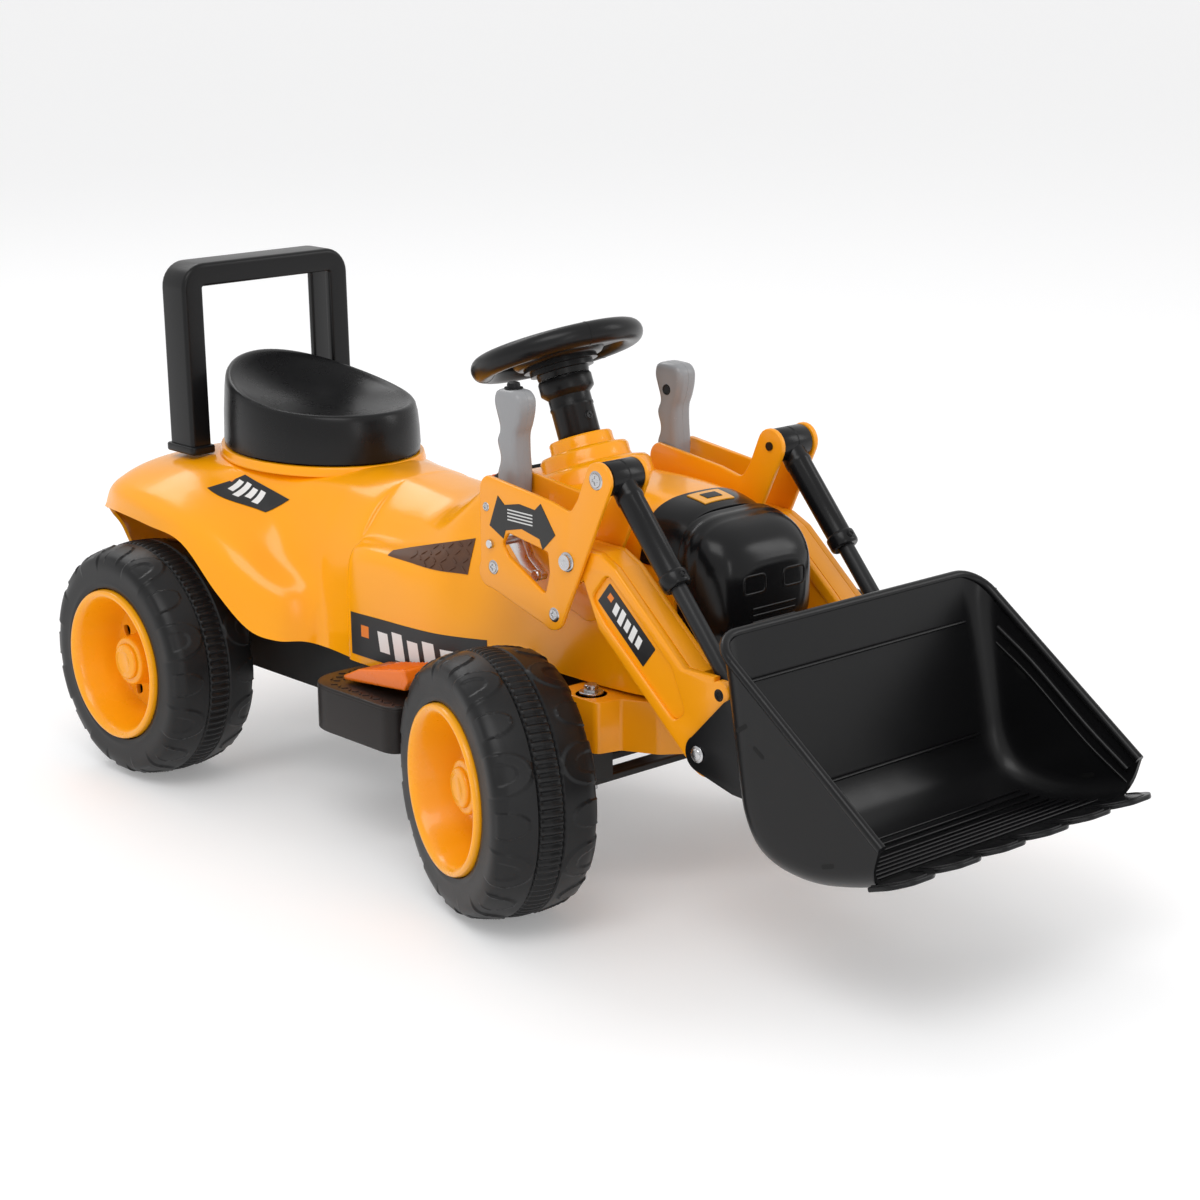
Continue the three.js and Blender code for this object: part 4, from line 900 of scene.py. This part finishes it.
outside_line = [tuple(p) for p in smooth_through([(-51, 117), (-57, 84), (-64, 46), (-74, -6), (-80, -30),
                                                  (-92, -50), (-108, -61), (-130, -66.4), (-160, -67),
                                                  (-196, -60), (-226, -51)], 4)]
corner = 26
tip_point = np.array([-237.0, -13.0])
rim_point = np.array([-51.0, 117.0])
rim_way = (tip_point - rim_point) / np.linalg.norm(tip_point - rim_point)
mouth_top = rim_point + rim_way * corner
floor_line = [np.array(p) for p in outside_line[:0:-1]] + [rim_point]
steps_along = [np.linalg.norm(b - a) for a, b in zip(floor_line, floor_line[1:])]
run_so_far = np.concatenate([[0], np.cumsum(steps_along)])
bucket_rows = []
for base, run in zip(floor_line, run_so_far / run_so_far[-1]):
    mouth = tip_point + (mouth_top - tip_point) * run
    way = mouth - base
    length = np.linalg.norm(way)
    way = way / length
    r = min(corner, length)
    half_row = [(bucket_half, base + way * (r + (length - r) * (1 - k / 6))) for k in range(6)]
    for k in range(9):
        a = math.pi / 2 * k / 8
        half_row.append((bucket_half - r + r * math.cos(a), base + way * r * (1 - math.sin(a))))
    half_row += [((bucket_half - r) * (1 - k / 8), base) for k in range(1, 9)]
    whole = [(x, p) for x, p in half_row] + [(-x, p) for x, p in half_row[-2::-1]]
    bucket_rows.append([(x, bucket_pivot[0] + p[0], bucket_pivot[1] + p[1]) for x, p in whole])
bucket_wall = walled(bucket_rows, -3.6)
round_section = [(math.cos(i * math.pi / 6), math.sin(i * math.pi / 6)) for i in range(12)]


def cord(line, radius, up=(1, 0, 0)):
    """A round bead of moulding along a smooth line."""
    return sweep(smooth_through(line, 4), [(a * radius, b * radius) for a, b in round_section], up)


def across_bucket(y, z, x):
    return (x, bucket_pivot[0] + y, bucket_pivot[1] + z)


bucket_parts = [bucket_wall]
lip = [row[0] for row in bucket_rows[:-1]] + bucket_rows[-1] + [row[-1] for row in bucket_rows[-2::-1]]
lip = [lip[0]] + [q for p, q in zip(lip, lip[1:]) if np.linalg.norm(np.array(q) - np.array(p)) > 0.4]
lip = [(x * 0.9793, y, z) for x, y, z in lip]
bucket_parts.append(sweep(lip, [(a * 4.2, b * 4.2) for a, b in round_section], (0.05, 0.55, -0.8)))
for sign in (-1, 1):
    for shift, size in ((17, 2.6), (29, 1.4)):
        bucket_parts.append(cord([across_bucket(y, z, sign * (bucket_half - 4.2)) for y, z in
                                  ((-82 + shift * 0.1, 92 - shift * 1.2), (-120, 69 - shift * 1.23),
                                   (-180, 26 - shift * 1.23), (-226, -7 - shift * 1.0))], size))
for y, z, size in ((-64.6, 78, 1.4), (-84.6, -20, 1.4)):
    bucket_parts.append(sweep([across_bucket(y, z, x) for x in (-134, 0, 134)],
                              [(a * size, b * size) for a, b in round_section], (0, 0, 1)))
for k in range(9):
    y = -128 - k * 10.5
    z = -61.9 + max(0, -y - 160) * 0.235
    bucket_parts.append(sweep([across_bucket(y, z, x) for x in (-138, 0, 138)],
                              [(a * 1.1, b * 1.1) for a, b in round_section], (0, 0, 1)))
tooth_pitch = 54.6
for k in range(6):
    x = (k - 2.5) * tooth_pitch
    tongue = rounded([(x - 27.2, 0, 1), (x + 27.2, 0, 1), (x + 26.6, 24, 16), (x + 12, 35.4, 14),
                      (x - 12, 35.4, 14), (x - 26.6, 24, 16)], 6)
    slope_down = Matrix(((1, 0, 0, 0), (0, -0.952, -0.31, bucket_pivot[0] - 225.4),
                         (0, 0.31, -0.952, bucket_pivot[1] - 47.6), (0, 0, 0, 1)))
    bucket_parts.append(board([tongue], -1.4, 2.6, 1.1, slope_down))
    bucket_parts.append(cord([tuple(slope_down @ Vector((x + a, b, -1.2))) for a, b in
                              ((-22.6, 1), (-21.4, 15), (-11, 28.4), (0, 30.6), (11, 28.4), (21.4, 15),
                               (22.6, 1))], 1.1, (0.02, 0.31, -0.95)))
ear_back = rounded([(8, 14), (-30, 52, 14), (-56, 68), (-71, 0), (-83, -28), (-40, -26, 16), (3, -16)], 4)
ear_outline = in_bucket(arc(0, 0, 16, -80, 60, 12) + ear_back[1:-1])
for sign in (-1, 1):
    for near in (122.5, 80.5):
        bucket_parts.append(side_board([ear_outline], sign, near, near + 5, 1.4))
piece("bucket_moulding", bucket_parts, bucket_black, "bucket", ["bucket"], angle=50)
slot_black = moulded("slot_black", (0.004, 0.004, 0.004), 0.6, shade=0.1)
slot_parts = []
for sign in (-1, 1):
    for ends in (((-82, 47), (-94, 55)), ((-102, 38), (-112, 32)), ((-178, -42), (-190, -38))):
        (y0, z0), (y1, z1) = ends
        run = math.hypot(y1 - y0, z1 - z0)
        uy, uz = (y1 - y0) / run * 7, (z1 - z0) / run * 7
        ny, nz = -uz * 0.28, uy * 0.28
        mid = ((y0 + y1) / 2, (z0 + z1) / 2)
        slot = rounded([(mid[0] + u * uy + n * ny, mid[1] + u * uz + n * nz, 1.9)
                        for u, n in ((-1, -1), (1, -1), (1, 1), (-1, 1))])
        slot_parts.append(side_board([in_bucket(slot)], sign, bucket_half - 4.2, bucket_half + 0.1))
piece("bucket_slots", slot_parts, slot_black, "bucket", ["bucket"])
rod_reach = 131.4
pivot_line = side_plane(0) @ Matrix.Translation((*bucket_pivot, 0))
pivot_rod = [(0, 1 - rod_reach), (4, 1 - rod_reach), (4, rod_reach - 1), (0, rod_reach - 1)]
pivot_parts = [moved(spun(pivot_rod, 28), pivot_line)]
rod_end = spun([(0, 0), (7, 0), (7.2, 0.9), (6.8, 1.4), (5.4, 1.7), (4.9, 2.8), (3.2, 3.3), (0, 3.5)], 40)
for sign in (-1, 1):
    pivot_parts.append(moved(rod_end, facing_out(sign, 127.9, bucket_pivot)))
piece("bucket_pivot_bolt", pivot_parts, pivot_steel, "loader_arms", ["bucket_pivot_rod"], angle=50)


# ---- Steering wheel ----
# A thick black plastic wheel on three spokes, tilted on its column. Its hub stands on a
# stepped housing, a round sleeve covers the steel shaft, and an orange horn pad is sunk in it.
column_length = 388.6
steering_place = up_column @ Matrix.Rotation(steer_at_rest, 4, "Z")
wheel_black = moulded("wheel_black", (0.006, 0.006, 0.0065), 0.3, grain=0.0007, depth=0.00008, shade=0.15)
rim_turns = np.linspace(0, 2 * math.pi, 25)
rim_line = [(71 + 11 * math.cos(a), column_length + 11 * math.sin(a)) for a in rim_turns]
steering_parts = [spun(rim_line, 96)]
hub_profile = [(0, -25), (24, -25), (25, -20), (30, -19.4), (30, -15), (35, -14.4), (35, -10.6), (40, -10),
               (43, -7), (44, -3), (44, 1), (42, 4), (37, 6.6), (0, 6.6)]
steering_parts.append(spun([(r, column_length + t) for r, t in hub_profile], 64))
for turn in (90, 210, 330):
    spoke = rounded([(34, -17, 2), (52, -13, 14), (66, -15, 4), (66, 15, 4), (52, 13, 14), (34, 17, 2)])
    around_hub = Matrix.Rotation(math.radians(turn), 4, "Z") @ Matrix.Translation((0, 0, column_length))
    steering_parts.append(board([spoke], -6, 3, 2.4, around_hub))
    steering_parts.append(board([rounded([(36, -9, 3), (58, -7, 3), (58, 7, 3), (36, 9, 3)])], 2.6, 4.4, 0.8,
                                around_hub))
for turn in (30, 150, 270):
    band = Matrix.Rotation(math.radians(turn), 4, "Z") @ Matrix.Translation((71, 0, column_length))
    seam = spun([(10.6, -0.9), (11.25, -0.6), (11.25, 0.6), (10.6, 0.9)], 32)
    steering_parts.append(moved(seam, band @ Matrix.Rotation(math.pi / 2, 4, "X")))
well = rounded([(-17, -12, 4), (17, -12, 4), (17, 12, 4), (-17, 12, 4)])
well_rim = rounded([(-20, -15, 6), (20, -15, 6), (20, 15, 6), (-20, 15, 6)])
steering_parts.append(board([well_rim, well], column_length + 5.6, column_length + 8.2, 0.8))
piece("steering_wheel_moulding", [moved(part, steering_place) for part in steering_parts], wheel_black,
      "steering", ["steering_wheel"], angle=40)
sleeve = [(7, 307), (19.4, 307), (20, 308), (20, 333), (20.6, 334), (20.6, 336), (20, 337), (20, 345),
          (25, 349.6), (25.4, 351), (25.4, 361), (24.6, 362.6), (7, 362.6), (7, 307)]
sleeve_parts = [spun(sleeve, 56)]
sleeve_screw = (Matrix.Rotation(math.radians(-74), 4, "Z") @ Matrix.Translation((19.9, 0, 322))
                @ Matrix.Rotation(math.pi / 2, 4, "Y"))
sleeve_parts += [moved(part, sleeve_screw) for part in screw(3.4, 1.2)]
piece("sleeve_moulding", [moved(part, steering_place) for part in sleeve_parts], wheel_black, "steering",
      ["column_sleeve"], angle=35)
horn_orange = moulded("horn_orange", (0.80, 0.13, 0.006), 0.3, depth=0.00004, shade=0.06, coat=0.2)
pad = rounded([(-15, -10, 4), (15, -10, 4), (15, 10, 4), (-15, 10, 4)])
horn_parts = [board([pad], column_length + 4.2, column_length + 10, 1.4)]
horn_parts.append(board([ring_of(4.4, 24), ring_of(3.2, 24)], column_length + 9.6, column_length + 10.5,
                        0.3))
piece("horn_pad", [moved(part, steering_place) for part in horn_parts], horn_orange, "horn", ["horn_button"],
      angle=40)


# ---- Nose ----
# A rounded black plastic grille clipped to the front wall of the shell, with two moulded seam
# lines round it, two lamp outlines in low relief and four low ribs under them.
def nose_ring(t, half_width, low, high):
    y = front_axle - 82.99 - 54.01 * t
    middle, half = axle_height + (low + high) / 2, (high - low) / 2
    row = []
    for i in range(72):
        out, rise = math.cos(2 * math.pi * i / 72), math.sin(2 * math.pi * i / 72)
        row.append((half_width * math.copysign(abs(out) ** 0.55, out), y,
                    middle + half * math.copysign(abs(rise) ** 0.55, rise)))
    return row


nose_line = smooth_through([(0, 65, 116, 237), (0.2, 64.4, 116.6, 235.6), (0.42, 62.8, 118.4, 232),
                            (0.62, 60, 121, 227), (0.8, 55, 126, 219), (0.92, 48.4, 133, 210.4),
                            (1.0, 38, 143, 200)], 4)
nose_rows = []
for t, w, low, high in nose_line:
    lip = -0.9 if 0.06 < t < 0.1 or 0.3 < t < 0.335 else 0
    nose_rows.append(nose_ring(t, w + lip, low - lip, high + lip))
for share in (0.82, 0.6, 0.36, 0.12):
    t, w, low, high = nose_line[-1]
    middle, half = (low + high) / 2, (high - low) / 2
    nose_rows.append(nose_ring(1, w * share, middle - half * share, middle + half * share))
nose_rows.append([(0, front_axle - 137, axle_height + 171.5)] * 72)
nose_rows.insert(0, [(0, front_axle - 82.99, axle_height + 176.5)] * 72)
nose_black = moulded("nose_black", (0.005, 0.005, 0.0055), 0.22, grain=0.0008, depth=0.00008, shade=0.2)
nose_parts = [sheet_of(nose_rows, closed=True)]


def on_nose(x, z, off=0.0):
    """A point on the front of the nose at x and height z, pushed out by off."""
    for t, w, low, high in nose_line[::-1]:
        middle, half = axle_height + (low + high) / 2, (high - low) / 2
        if abs(x / w) ** (2 / 0.55) + abs((z - middle) / half) ** (2 / 0.55) <= 1:
            return (x, front_axle - 82.99 - 54.01 * t - off, z)
    return (x, front_axle - 83, z)


for z in (262, 268, 274, 280):
    nose_parts.append(cord([on_nose(x, z, -0.4) for x in np.linspace(-26, 26, 9)], 1.1, (0, 0, 1)))
lamp_outline = rounded([(-13, -8, 5), (13, -8, 5), (13, 8, 5), (-13, 8, 5)], 4)
for middle in (-24, 24):
    lamp_line = [on_nose(middle + x, 302 + z, -0.6) for x, z in lamp_outline]
    nose_parts.append(sweep(lamp_line, [(a * 1.3, b * 1.3) for a, b in round_section], (0, 1, 0.01), True))
piece("nose_moulding", nose_parts, nose_black, "chassis", ["nose_grille"], angle=45)


# ---- Front beam ----
# A bowed yellow moulded cover over the front axle, hollow underneath. Chrome hex bolts with
# broad washers pass through its ends as kingpins, down to a flat black steel strap.
beam_outline = rounded([(-107, -98, 6), (107, -98, 6), (107, -155, 8), (83, -161, 7), (67, -193, 16),
                        (41, -213, 16), (0, -221, 40), (-41, -213, 16), (-67, -193, 16), (-83, -161, 7),
                        (-107, -155, 8)], 6)
inner_beam = [(x * 0.9, -126 + (y + 126) * 0.9) for x, y in beam_outline]
beam_parts = [board([beam_outline], 184, 188, 1.8), board([beam_outline, inner_beam], 140, 186.4, 0.6)]
for sign in (-1, 1):
    beam_parts.append(moved(spun([(0, 0), (15, 0), (15, 2.2), (14.2, 3), (0, 3)], 40),
                            Matrix.Translation((sign * 91, front_axle, 185))))
piece("beam_cover", beam_parts, plate_yellow, "chassis", ["front_beam"], angle=45)
for side, sign in (("right", -1), ("left", 1)):
    pin_place = Matrix.Translation((sign * 91, front_axle, 0))
    hexagon = [(6.6 * math.cos(math.radians(60 * i + 14)), 6.6 * math.sin(math.radians(60 * i + 14)))
               for i in range(6)]
    hub_ring = spun([(0, 193), (6.0, 193), (6.1, 196.2), (5.3, 196.9), (0, 197)], 36)
    pin_parts = [spun([(0, 99.2), (4.6, 99.2), (5, 99.6), (5, 189), (0, 189)], 32),
                 spun([(5, 188.35), (10.6, 188.35), (11, 188.8), (11, 190.2), (10.4, 190.8), (5, 190.8),
                       (5, 188.35)], 48),
                 board([hexagon], 190.6, 195.8, 0.5), hub_ring]
    piece(f"kingpin_bolt_{side}", [moved(part, pin_place) for part in pin_parts], pivot_steel, "chassis",
          [f"kingpin_{side}"], angle=35)
strap_black = moulded("strap_black", (0.02, 0.019, 0.018), 0.38, grain=0.0005, depth=0.00006, shade=0.25)
strap_outline = rounded([(-102, -141, 9), (102, -141, 9), (102, -121, 9), (-102, -121, 9)])
strap_bores = [ring_of(5.4, 24, sign * 91, front_axle) for sign in (-1, 1)]
piece("axle_strap_plate", [board([strap_outline] + strap_bores, 105, 111, 0.8)], strap_black, "chassis",
      ["axle_strap"], angle=40)


# ---- Foot steps ----
# Black moulded running boards, hollow underneath, clipped to the floor pan. Their tops carry
# two kinds of raised cross ribs, and the accelerator hinges in the right one.
cleat_outline = rounded([(-3.4, -1, 0.9), (3.4, -1, 0.9), (3.4, 1, 0.9), (-3.4, 1, 0.9)], 2)
cleat = board([cleat_outline], -0.4, 0.7, 0.25)
step_black = moulded("step_black", (0.012, 0.009, 0.008), 0.38, grain=0.0008, depth=0.0001, shade=0.25)
for side, sign in (("right", -1), ("left", 1)):
    corners = [(95.4, 188), (176, 188, 44), (176, 48, 20), (95.4, 48)]
    step_outline = rounded(corners, 8)
    hollow = [(100.4 + (x - 95.4) * 70.6 / 80.6, 118 + (y - 118) * 0.93) for x, y in step_outline]
    flip = Matrix.Scale(sign, 4, (1, 0, 0))
    parts = [board([step_outline], 145.4, 150, 2.2), board([step_outline, hollow], 105, 147, 1)]
    for i in range(16):
        for j in range(8):
            x, y = 101 + j * 9.2, 54 + i * 8.2
            inside = x < 166 and (y < 150 or (x - 132) ** 2 + (y - 144) ** 2 < 36 ** 2 or x < 128)
            if not inside or y > 178 or (sign < 0 and 109 < x < 158 and 48 < y < 160):
                continue
            turn = math.radians(45 if (i + j) % 2 else -45)
            tilt = Matrix.Translation((x, y, 150)) @ Matrix.Rotation(turn, 4, "Z")
            parts.append(moved(cleat, tilt))
    piece(f"step_moulding_{side}", [moved(part, flip) for part in parts], step_black, "chassis",
          [f"foot_step_{side}"], angle=40)


# ---- Accelerator ----
# An orange plastic foot pedal hinged at its rear in the right step, wedge shaped, with ribs
# across its toe so a small shoe does not slip.
pedal_orange = moulded("pedal_orange", (0.84, 0.17, 0.006), 0.28, depth=0.00004, shade=0.06, coat=0.25)
pedal_side = rounded([(60, 161, 2), (152, 152, 1), (155, 156, 2), (131, 167, 8), (60, 181, 5),
                      (54, 170, 5)], 4)
pedal_parts = [board([pedal_side], -153.4, -113.4, 1.8, side_plane(0))]
for i in range(8):
    y = 64 + i * 6.4
    z = 181 - (y - 60) * 14 / 71
    pedal_parts.append(sweep([(x, y, z - 0.5) for x in (-150, -133.4, -117)],
                             [(a * 1.3, b * 1.3) for a, b in round_section], (0, 0, 1)))
piece("pedal_moulding", pedal_parts, pedal_orange, "pedal", ["accelerator_pedal"],
      angle=40)


# ---- Dash ----
# A small black panel on the rider's side of the boss, set into the shell: an orange power
# rocker, a black direction rocker and the inlet for the charger between them.
dash_rear = rear_arch + (front_arch - rear_arch) * 0.882
dash_slope = math.atan2(18, dash_rear - front_arch)
dash_place = (Matrix.Translation((0, (dash_rear + front_arch) / 2, axle_height + 223))
              @ Matrix.Rotation(-dash_slope, 4, "X"))
panel = rounded([(-40, -14, 5), (40, -14, 5), (40, 14, 5), (-40, 14, 5)])
wells = [rounded([(sx - 10, -9, 2), (sx + 10, -9, 2), (sx + 10, 9, 2), (sx - 10, 9, 2)], 3)
         for sx in (-26, 26)]
panel_parts = [board([panel] + wells, 0.7, 5, 0.9)]
for sx in (-37.4, 37.4):
    panel_parts += [moved(part, Matrix.Translation((sx, 11.2, 4.6))) for part in screw(1.6, 0.8)]
piece("dash_panel", [moved(part, dash_place) for part in panel_parts], screw_black, "chassis",
      ["switch_panel"], angle=40)
rocker = rounded([(-8, 2, 0.5), (8, 2, 0.5), (8, 9, 1.6), (0, 6.4, 8), (-8, 8, 1.6)], 4)
across_dash = Matrix(((0, 0, 1, 0), (1, 0, 0, 0), (0, 1, 0, 0), (0, 0, 0, 1)))
for name, sx, paint, body, node, slot in (
        ("power_rocker_cap", -26, horn_orange, "power_rocker", "power_switch", "orange_plastic"),
        ("direction_rocker_cap", 26, screw_black, "direction_rocker", "direction_switch", "black_satin")):
    here = dash_place @ Matrix.Translation((sx, 0, 0)) @ across_dash
    mark = moved(board([ring_of(2.2, 20), ring_of(1.5, 20)], 0, 0.9, 0.2),
                 dash_place @ Matrix.Translation((sx, -5, 7.3)))
    piece(name, [moved(board([rocker], -9, 9, 0.8), here), mark], paint, body, [node], angle=40)
socket = spun([(3, 5.4), (7.4, 5.4), (8, 6), (8, 7.4), (7.4, 8), (3.8, 8), (3, 7.4), (3, 5.4)], 36)
socket_pin = spun([(0, 5.4), (0.9, 5.4), (0.9, 7.2), (0, 7.5)], 16)
piece("charger_inlet", [moved(part, dash_place) for part in (socket, socket_pin)], cylinder_black, "chassis",
      ["charging_socket"])


# ---- Running gear ----
# What shows from below: the black floor pan with its ribs, battery, gearbox, motor, the steel
# axle with its spacers, knuckles, tie rod and steering shaft. Their finishes go on as they are.
def finish_nodes(material, *names):
    for name in names:
        for slot in bpy.data.objects[name].material_slots:
            slot.material = material


pan_black = moulded("pan_black", (0.017, 0.017, 0.017), 0.5, grain=0.001, depth=0.00012, shade=0.3)
finish_nodes(pan_black, "underbody_tray", "gearbox", "axle_spacer_right", "axle_spacer_left")
battery_case = moulded("battery_case", (0.025, 0.027, 0.03), 0.45, grain=0.0012, depth=0.0001, shade=0.2)
finish_nodes(battery_case, "battery")
finish_nodes(pivot_steel, "rear_axle", "arm_pivot_rod", "steering_shaft")
motor_can, s = new_finish("motor_can")
dull = noise(s, 90.0, 6.0)
surface(s, s.blend((0.33, 0.33, 0.34), (0.5, 0.5, 0.5), dull), 0.28 + 0.25 * dull, Metallic=0.9)
finish_nodes(motor_can, "drive_motor")
finish_nodes(strap_black, "steering_knuckle_right", "steering_knuckle_left", "tie_rod")


# ---- Labels ----
# Printed vinyl labels: a black band low on each side of the waist, one on each fender and one
# in each arm's panel, all with plain light bars and an orange square instead of lettering, and
# a curved double arrow on the brackets. A brown-black rubbery tread panel lies on each shoulder.
def across_at(y, z, sign):
    """Where the shell's side passes height z at y, as a place across it."""
    low, high = 0.02, 5.4
    for _ in range(14):
        middle = (low + high) / 2
        if on_shell(y, middle)[2] < z:
            low = middle
        else:
            high = middle
    return low if sign < 0 else 12 - low


def lifted(y, a, off):
    point = on_shell(y, a)
    lift = on_shell(y, a, 1.0) - point
    return point + lift * (off if lift @ (point - np.array([0, y, 200])) > 0 else -off)


def on_side(corners, sign, off, high=8, long=20, wall=0.5):
    """A thin sheet laid on the shell between four (y, z) corners, in order round it."""
    c = [np.array(p, float) for p in corners]
    rows = []
    for i in range(long + 1):
        u = i / long
        row = []
        for j in range(high + 1):
            v = j / high
            y, z = (c[0] * (1 - v) + c[1] * v) * (1 - u) + (c[3] * (1 - v) + c[2] * v) * u
            row.append(lifted(y, across_at(y, z, sign), off))
        rows.append(row)
    return walled(rows, wall)


def banner(name, axis_u, axis_v, origin, length, height, bars):
    """Black vinyl with an orange square and light bars; u runs along the label, v up it."""
    material, s = new_finish(name)
    place = s.node("ShaderNodeTexCoord", out="Object")

    def along_axis(axis):
        offset = s.node("ShaderNodeVectorMath", {"operation": "SUBTRACT"},
                        {0: place, 1: [o * 0.001 for o in origin]})
        run = s.node("ShaderNodeVectorMath", {"operation": "DOT_PRODUCT"}, {0: offset, 1: axis}, out=1)
        return run * 1000

    u, v = along_axis(axis_u), along_axis(axis_v)
    square = u.within(length * 0.12, height * 0.13) * v.within(height * 0.62, height * 0.13)
    light = 0
    for k in range(bars):
        middle = length * (0.3 + 0.62 * k / bars)
        half = length * 0.21 / bars
        tall = height * (0.3 if k % 2 else 0.22)
        bar = (u + v * 0.18).within(middle, half) * v.within(height * 0.5, tall)
        light = bar + light
    scratch = noise(s, 180.0, 5.0)
    ground = s.blend((0.006, 0.006, 0.007), (0.012, 0.012, 0.013), scratch)
    coloured = s.blend(ground, (0.78, 0.2, 0.01), square)
    surface(s, s.blend(coloured, (0.78, 0.78, 0.77), light), 0.3 + 0.14 * scratch)
    return material


tread_brown, s = new_finish("tread_brown")
worn = noise(s, 70.0)
surface(s, s.blend((0.055, 0.02, 0.008), (0.12, 0.045, 0.015), worn), 0.42 + 0.2 * worn)
tread_bar = [(p * 0.8, q * 0.6) for p, q in round_section]
arrow = [(-38, 332), (-50, 361), (-59, 354), (-79, 358), (-100, 356), (-108, 363), (-127, 338), (-110, 322),
         (-106, 331), (-82, 336), (-60, 331), (-57, 323)]
for side, sign in (("right", -1), ("left", 1)):
    band = on_side([(200, 160), (200, 202), (18, 206), (18, 160)], sign, 0.6)
    waist_print = banner(f"waist_print_{side}", (0, -1, 0), (0, 0, 1), (0, 200, 158), 184, 45, 5)
    piece(f"waist_label_{side}", [band], waist_print, "chassis", ["body_shell"])
    flash = on_side([(408, 294), (388, 306), (322, 290), (342, 276)], sign, 0.8)
    fender_print = banner(f"fender_print_{side}", (0, -0.965, -0.263), (0, -0.263, 0.965), (0, 408, 294),
                          68, 17, 4)
    piece(f"fender_label_{side}", [flash], fender_print, "chassis", ["body_shell"])
    tread_parts = [on_side([(147, 266), (146, 270), (44, 297), (44, 264)], sign, 0.7, 8, 16)]
    for i in range(9):
        for j in range(4):
            y = 134 - i * 10.6
            share = (147 - y) / 103
            low_z, high_z = 266 - 2 * share, 268 + 29 * share
            z = low_z + (high_z - low_z) * (j + 0.5) / 4
            if high_z - low_z < 6 + 7 * abs(j - 1.5):
                continue
            a = across_at(y, z, sign)
            middle = on_shell(y, a)
            out = on_shell(y, a, 1.0) - middle
            out = out if out @ (middle - np.array([0, y, 200])) > 0 else -out
            tangent = on_shell(y - 2, a) - on_shell(y + 2, a)
            tangent = tangent / np.linalg.norm(tangent)
            side_way = np.cross(out, tangent)
            mix_way = tangent + side_way * (0.9 if (i + j) % 2 else -0.9)
            mix_way = mix_way / np.linalg.norm(mix_way)
            ends = [middle + out * 0.9 - mix_way * 3.2, middle + out * 1.2,
                    middle + out * 0.9 + mix_way * 3.2]
            tread_parts.append(sweep([tuple(p) for p in ends], tread_bar, tuple(out)))
    piece(f"tread_panel_{side}", tread_parts, tread_brown, "chassis", ["body_shell"],
          angle=45)
    arm_label = rounded([(*along(t, d), 1) for t, d in ((42, 19), (42, -5), (116, -5), (116, 19))], 2)
    arm_print = banner(f"arm_print_{side}", (0, -math.cos(reach), -math.sin(reach)),
                       (0, -math.sin(reach), math.cos(reach)), (0, *along(42, -5)), 74, 24, 5)
    piece(f"arm_label_{side}", [side_board([arm_label], sign, 117.4, 118.0)], arm_print, "loader_arms",
          [f"loader_arm_{side}"])
    print_black, s = new_finish(f"arrow_print_{side}")
    place = s.node("ShaderNodeTexCoord", out="Object")
    along_side = s.node("ShaderNodeSeparateXYZ", {}, {0: place}, out=1)
    height = s.node("ShaderNodeSeparateXYZ", {}, {0: place}, out=2)
    lines = sum(height.within(z, 0.0006) for z in (0.3505, 0.3475, 0.3445, 0.3415))
    lines = along_side.within(-0.08, 0.017) * lines
    speck = noise(s, 200.0, 2.0)
    surface(s, s.blend((0.007, 0.007, 0.007), (0.62, 0.62, 0.61), lines), 0.32 + 0.1 * speck)
    piece(f"arrow_label_{side}", [side_board([arrow], sign, 127.4, 127.9)], print_black, "chassis",
          [f"bracket_outer_{side}"])


# ---- Badge and collar ----
# The black cap that folds from the grille over the hood's front edge, with a plain orange plate
# on it and no lettering, and the shell's raised collar round the foot of the saddle.
cap_rows = [[lifted(y, a, 1.4) for a in np.linspace(3.1, 8.9, 37)]
            for y in np.concatenate([np.linspace(-172, -200, 8), np.linspace(-203, -212.6, 9)])]
piece("hood_cap", [walled(cap_rows, 1.8)], nose_black, "chassis", ["nose_grille"], angle=50)
badge_rows = [[lifted(y, a, 2.4) for a in np.linspace(5.5, 6.5, 9)] for y in np.linspace(-178, -200, 7)]
badge_orange = moulded("badge_orange", (0.82, 0.36, 0.02), 0.26, depth=0.00003, shade=0.08, coat=0.3)
piece("hood_badge", [walled(badge_rows, 1.4)], badge_orange, "chassis", ["nose_grille"],
      angle=40)
lozenge_rows = [[lifted(y, a, 3.0) for a in np.linspace(5.75, 6.25, 7)] for y in np.linspace(-184, -194, 5)]
piece("hood_badge_mark", [walled(lozenge_rows, 0.8)], screw_black, "chassis", ["nose_grille"],
      angle=40)
collar_line = []
for i in range(72):
    a = 2 * math.pi * i / 72
    collar_line.append((math.cos(a) * (seat_half_width + 0.5),
                        seat_y + math.sin(a) * (seat_half_length + 0.5),
                        seat_base - 3.4 + 5 * max(0, math.sin(a)) ** 2))
collar_section = rounded([(-6, -7, 2), (6, -7, 2), (3.4, 3, 2), (-3, 3, 2)], 3)
piece("seat_collar", [sweep(collar_line, collar_section, (0, 0, 1), True)], shell_yellow, "chassis",
      ["body_shell"], angle=45)


# ---- Close ----
# The box round everything that renders, the floor left out, is worked out.
low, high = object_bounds()
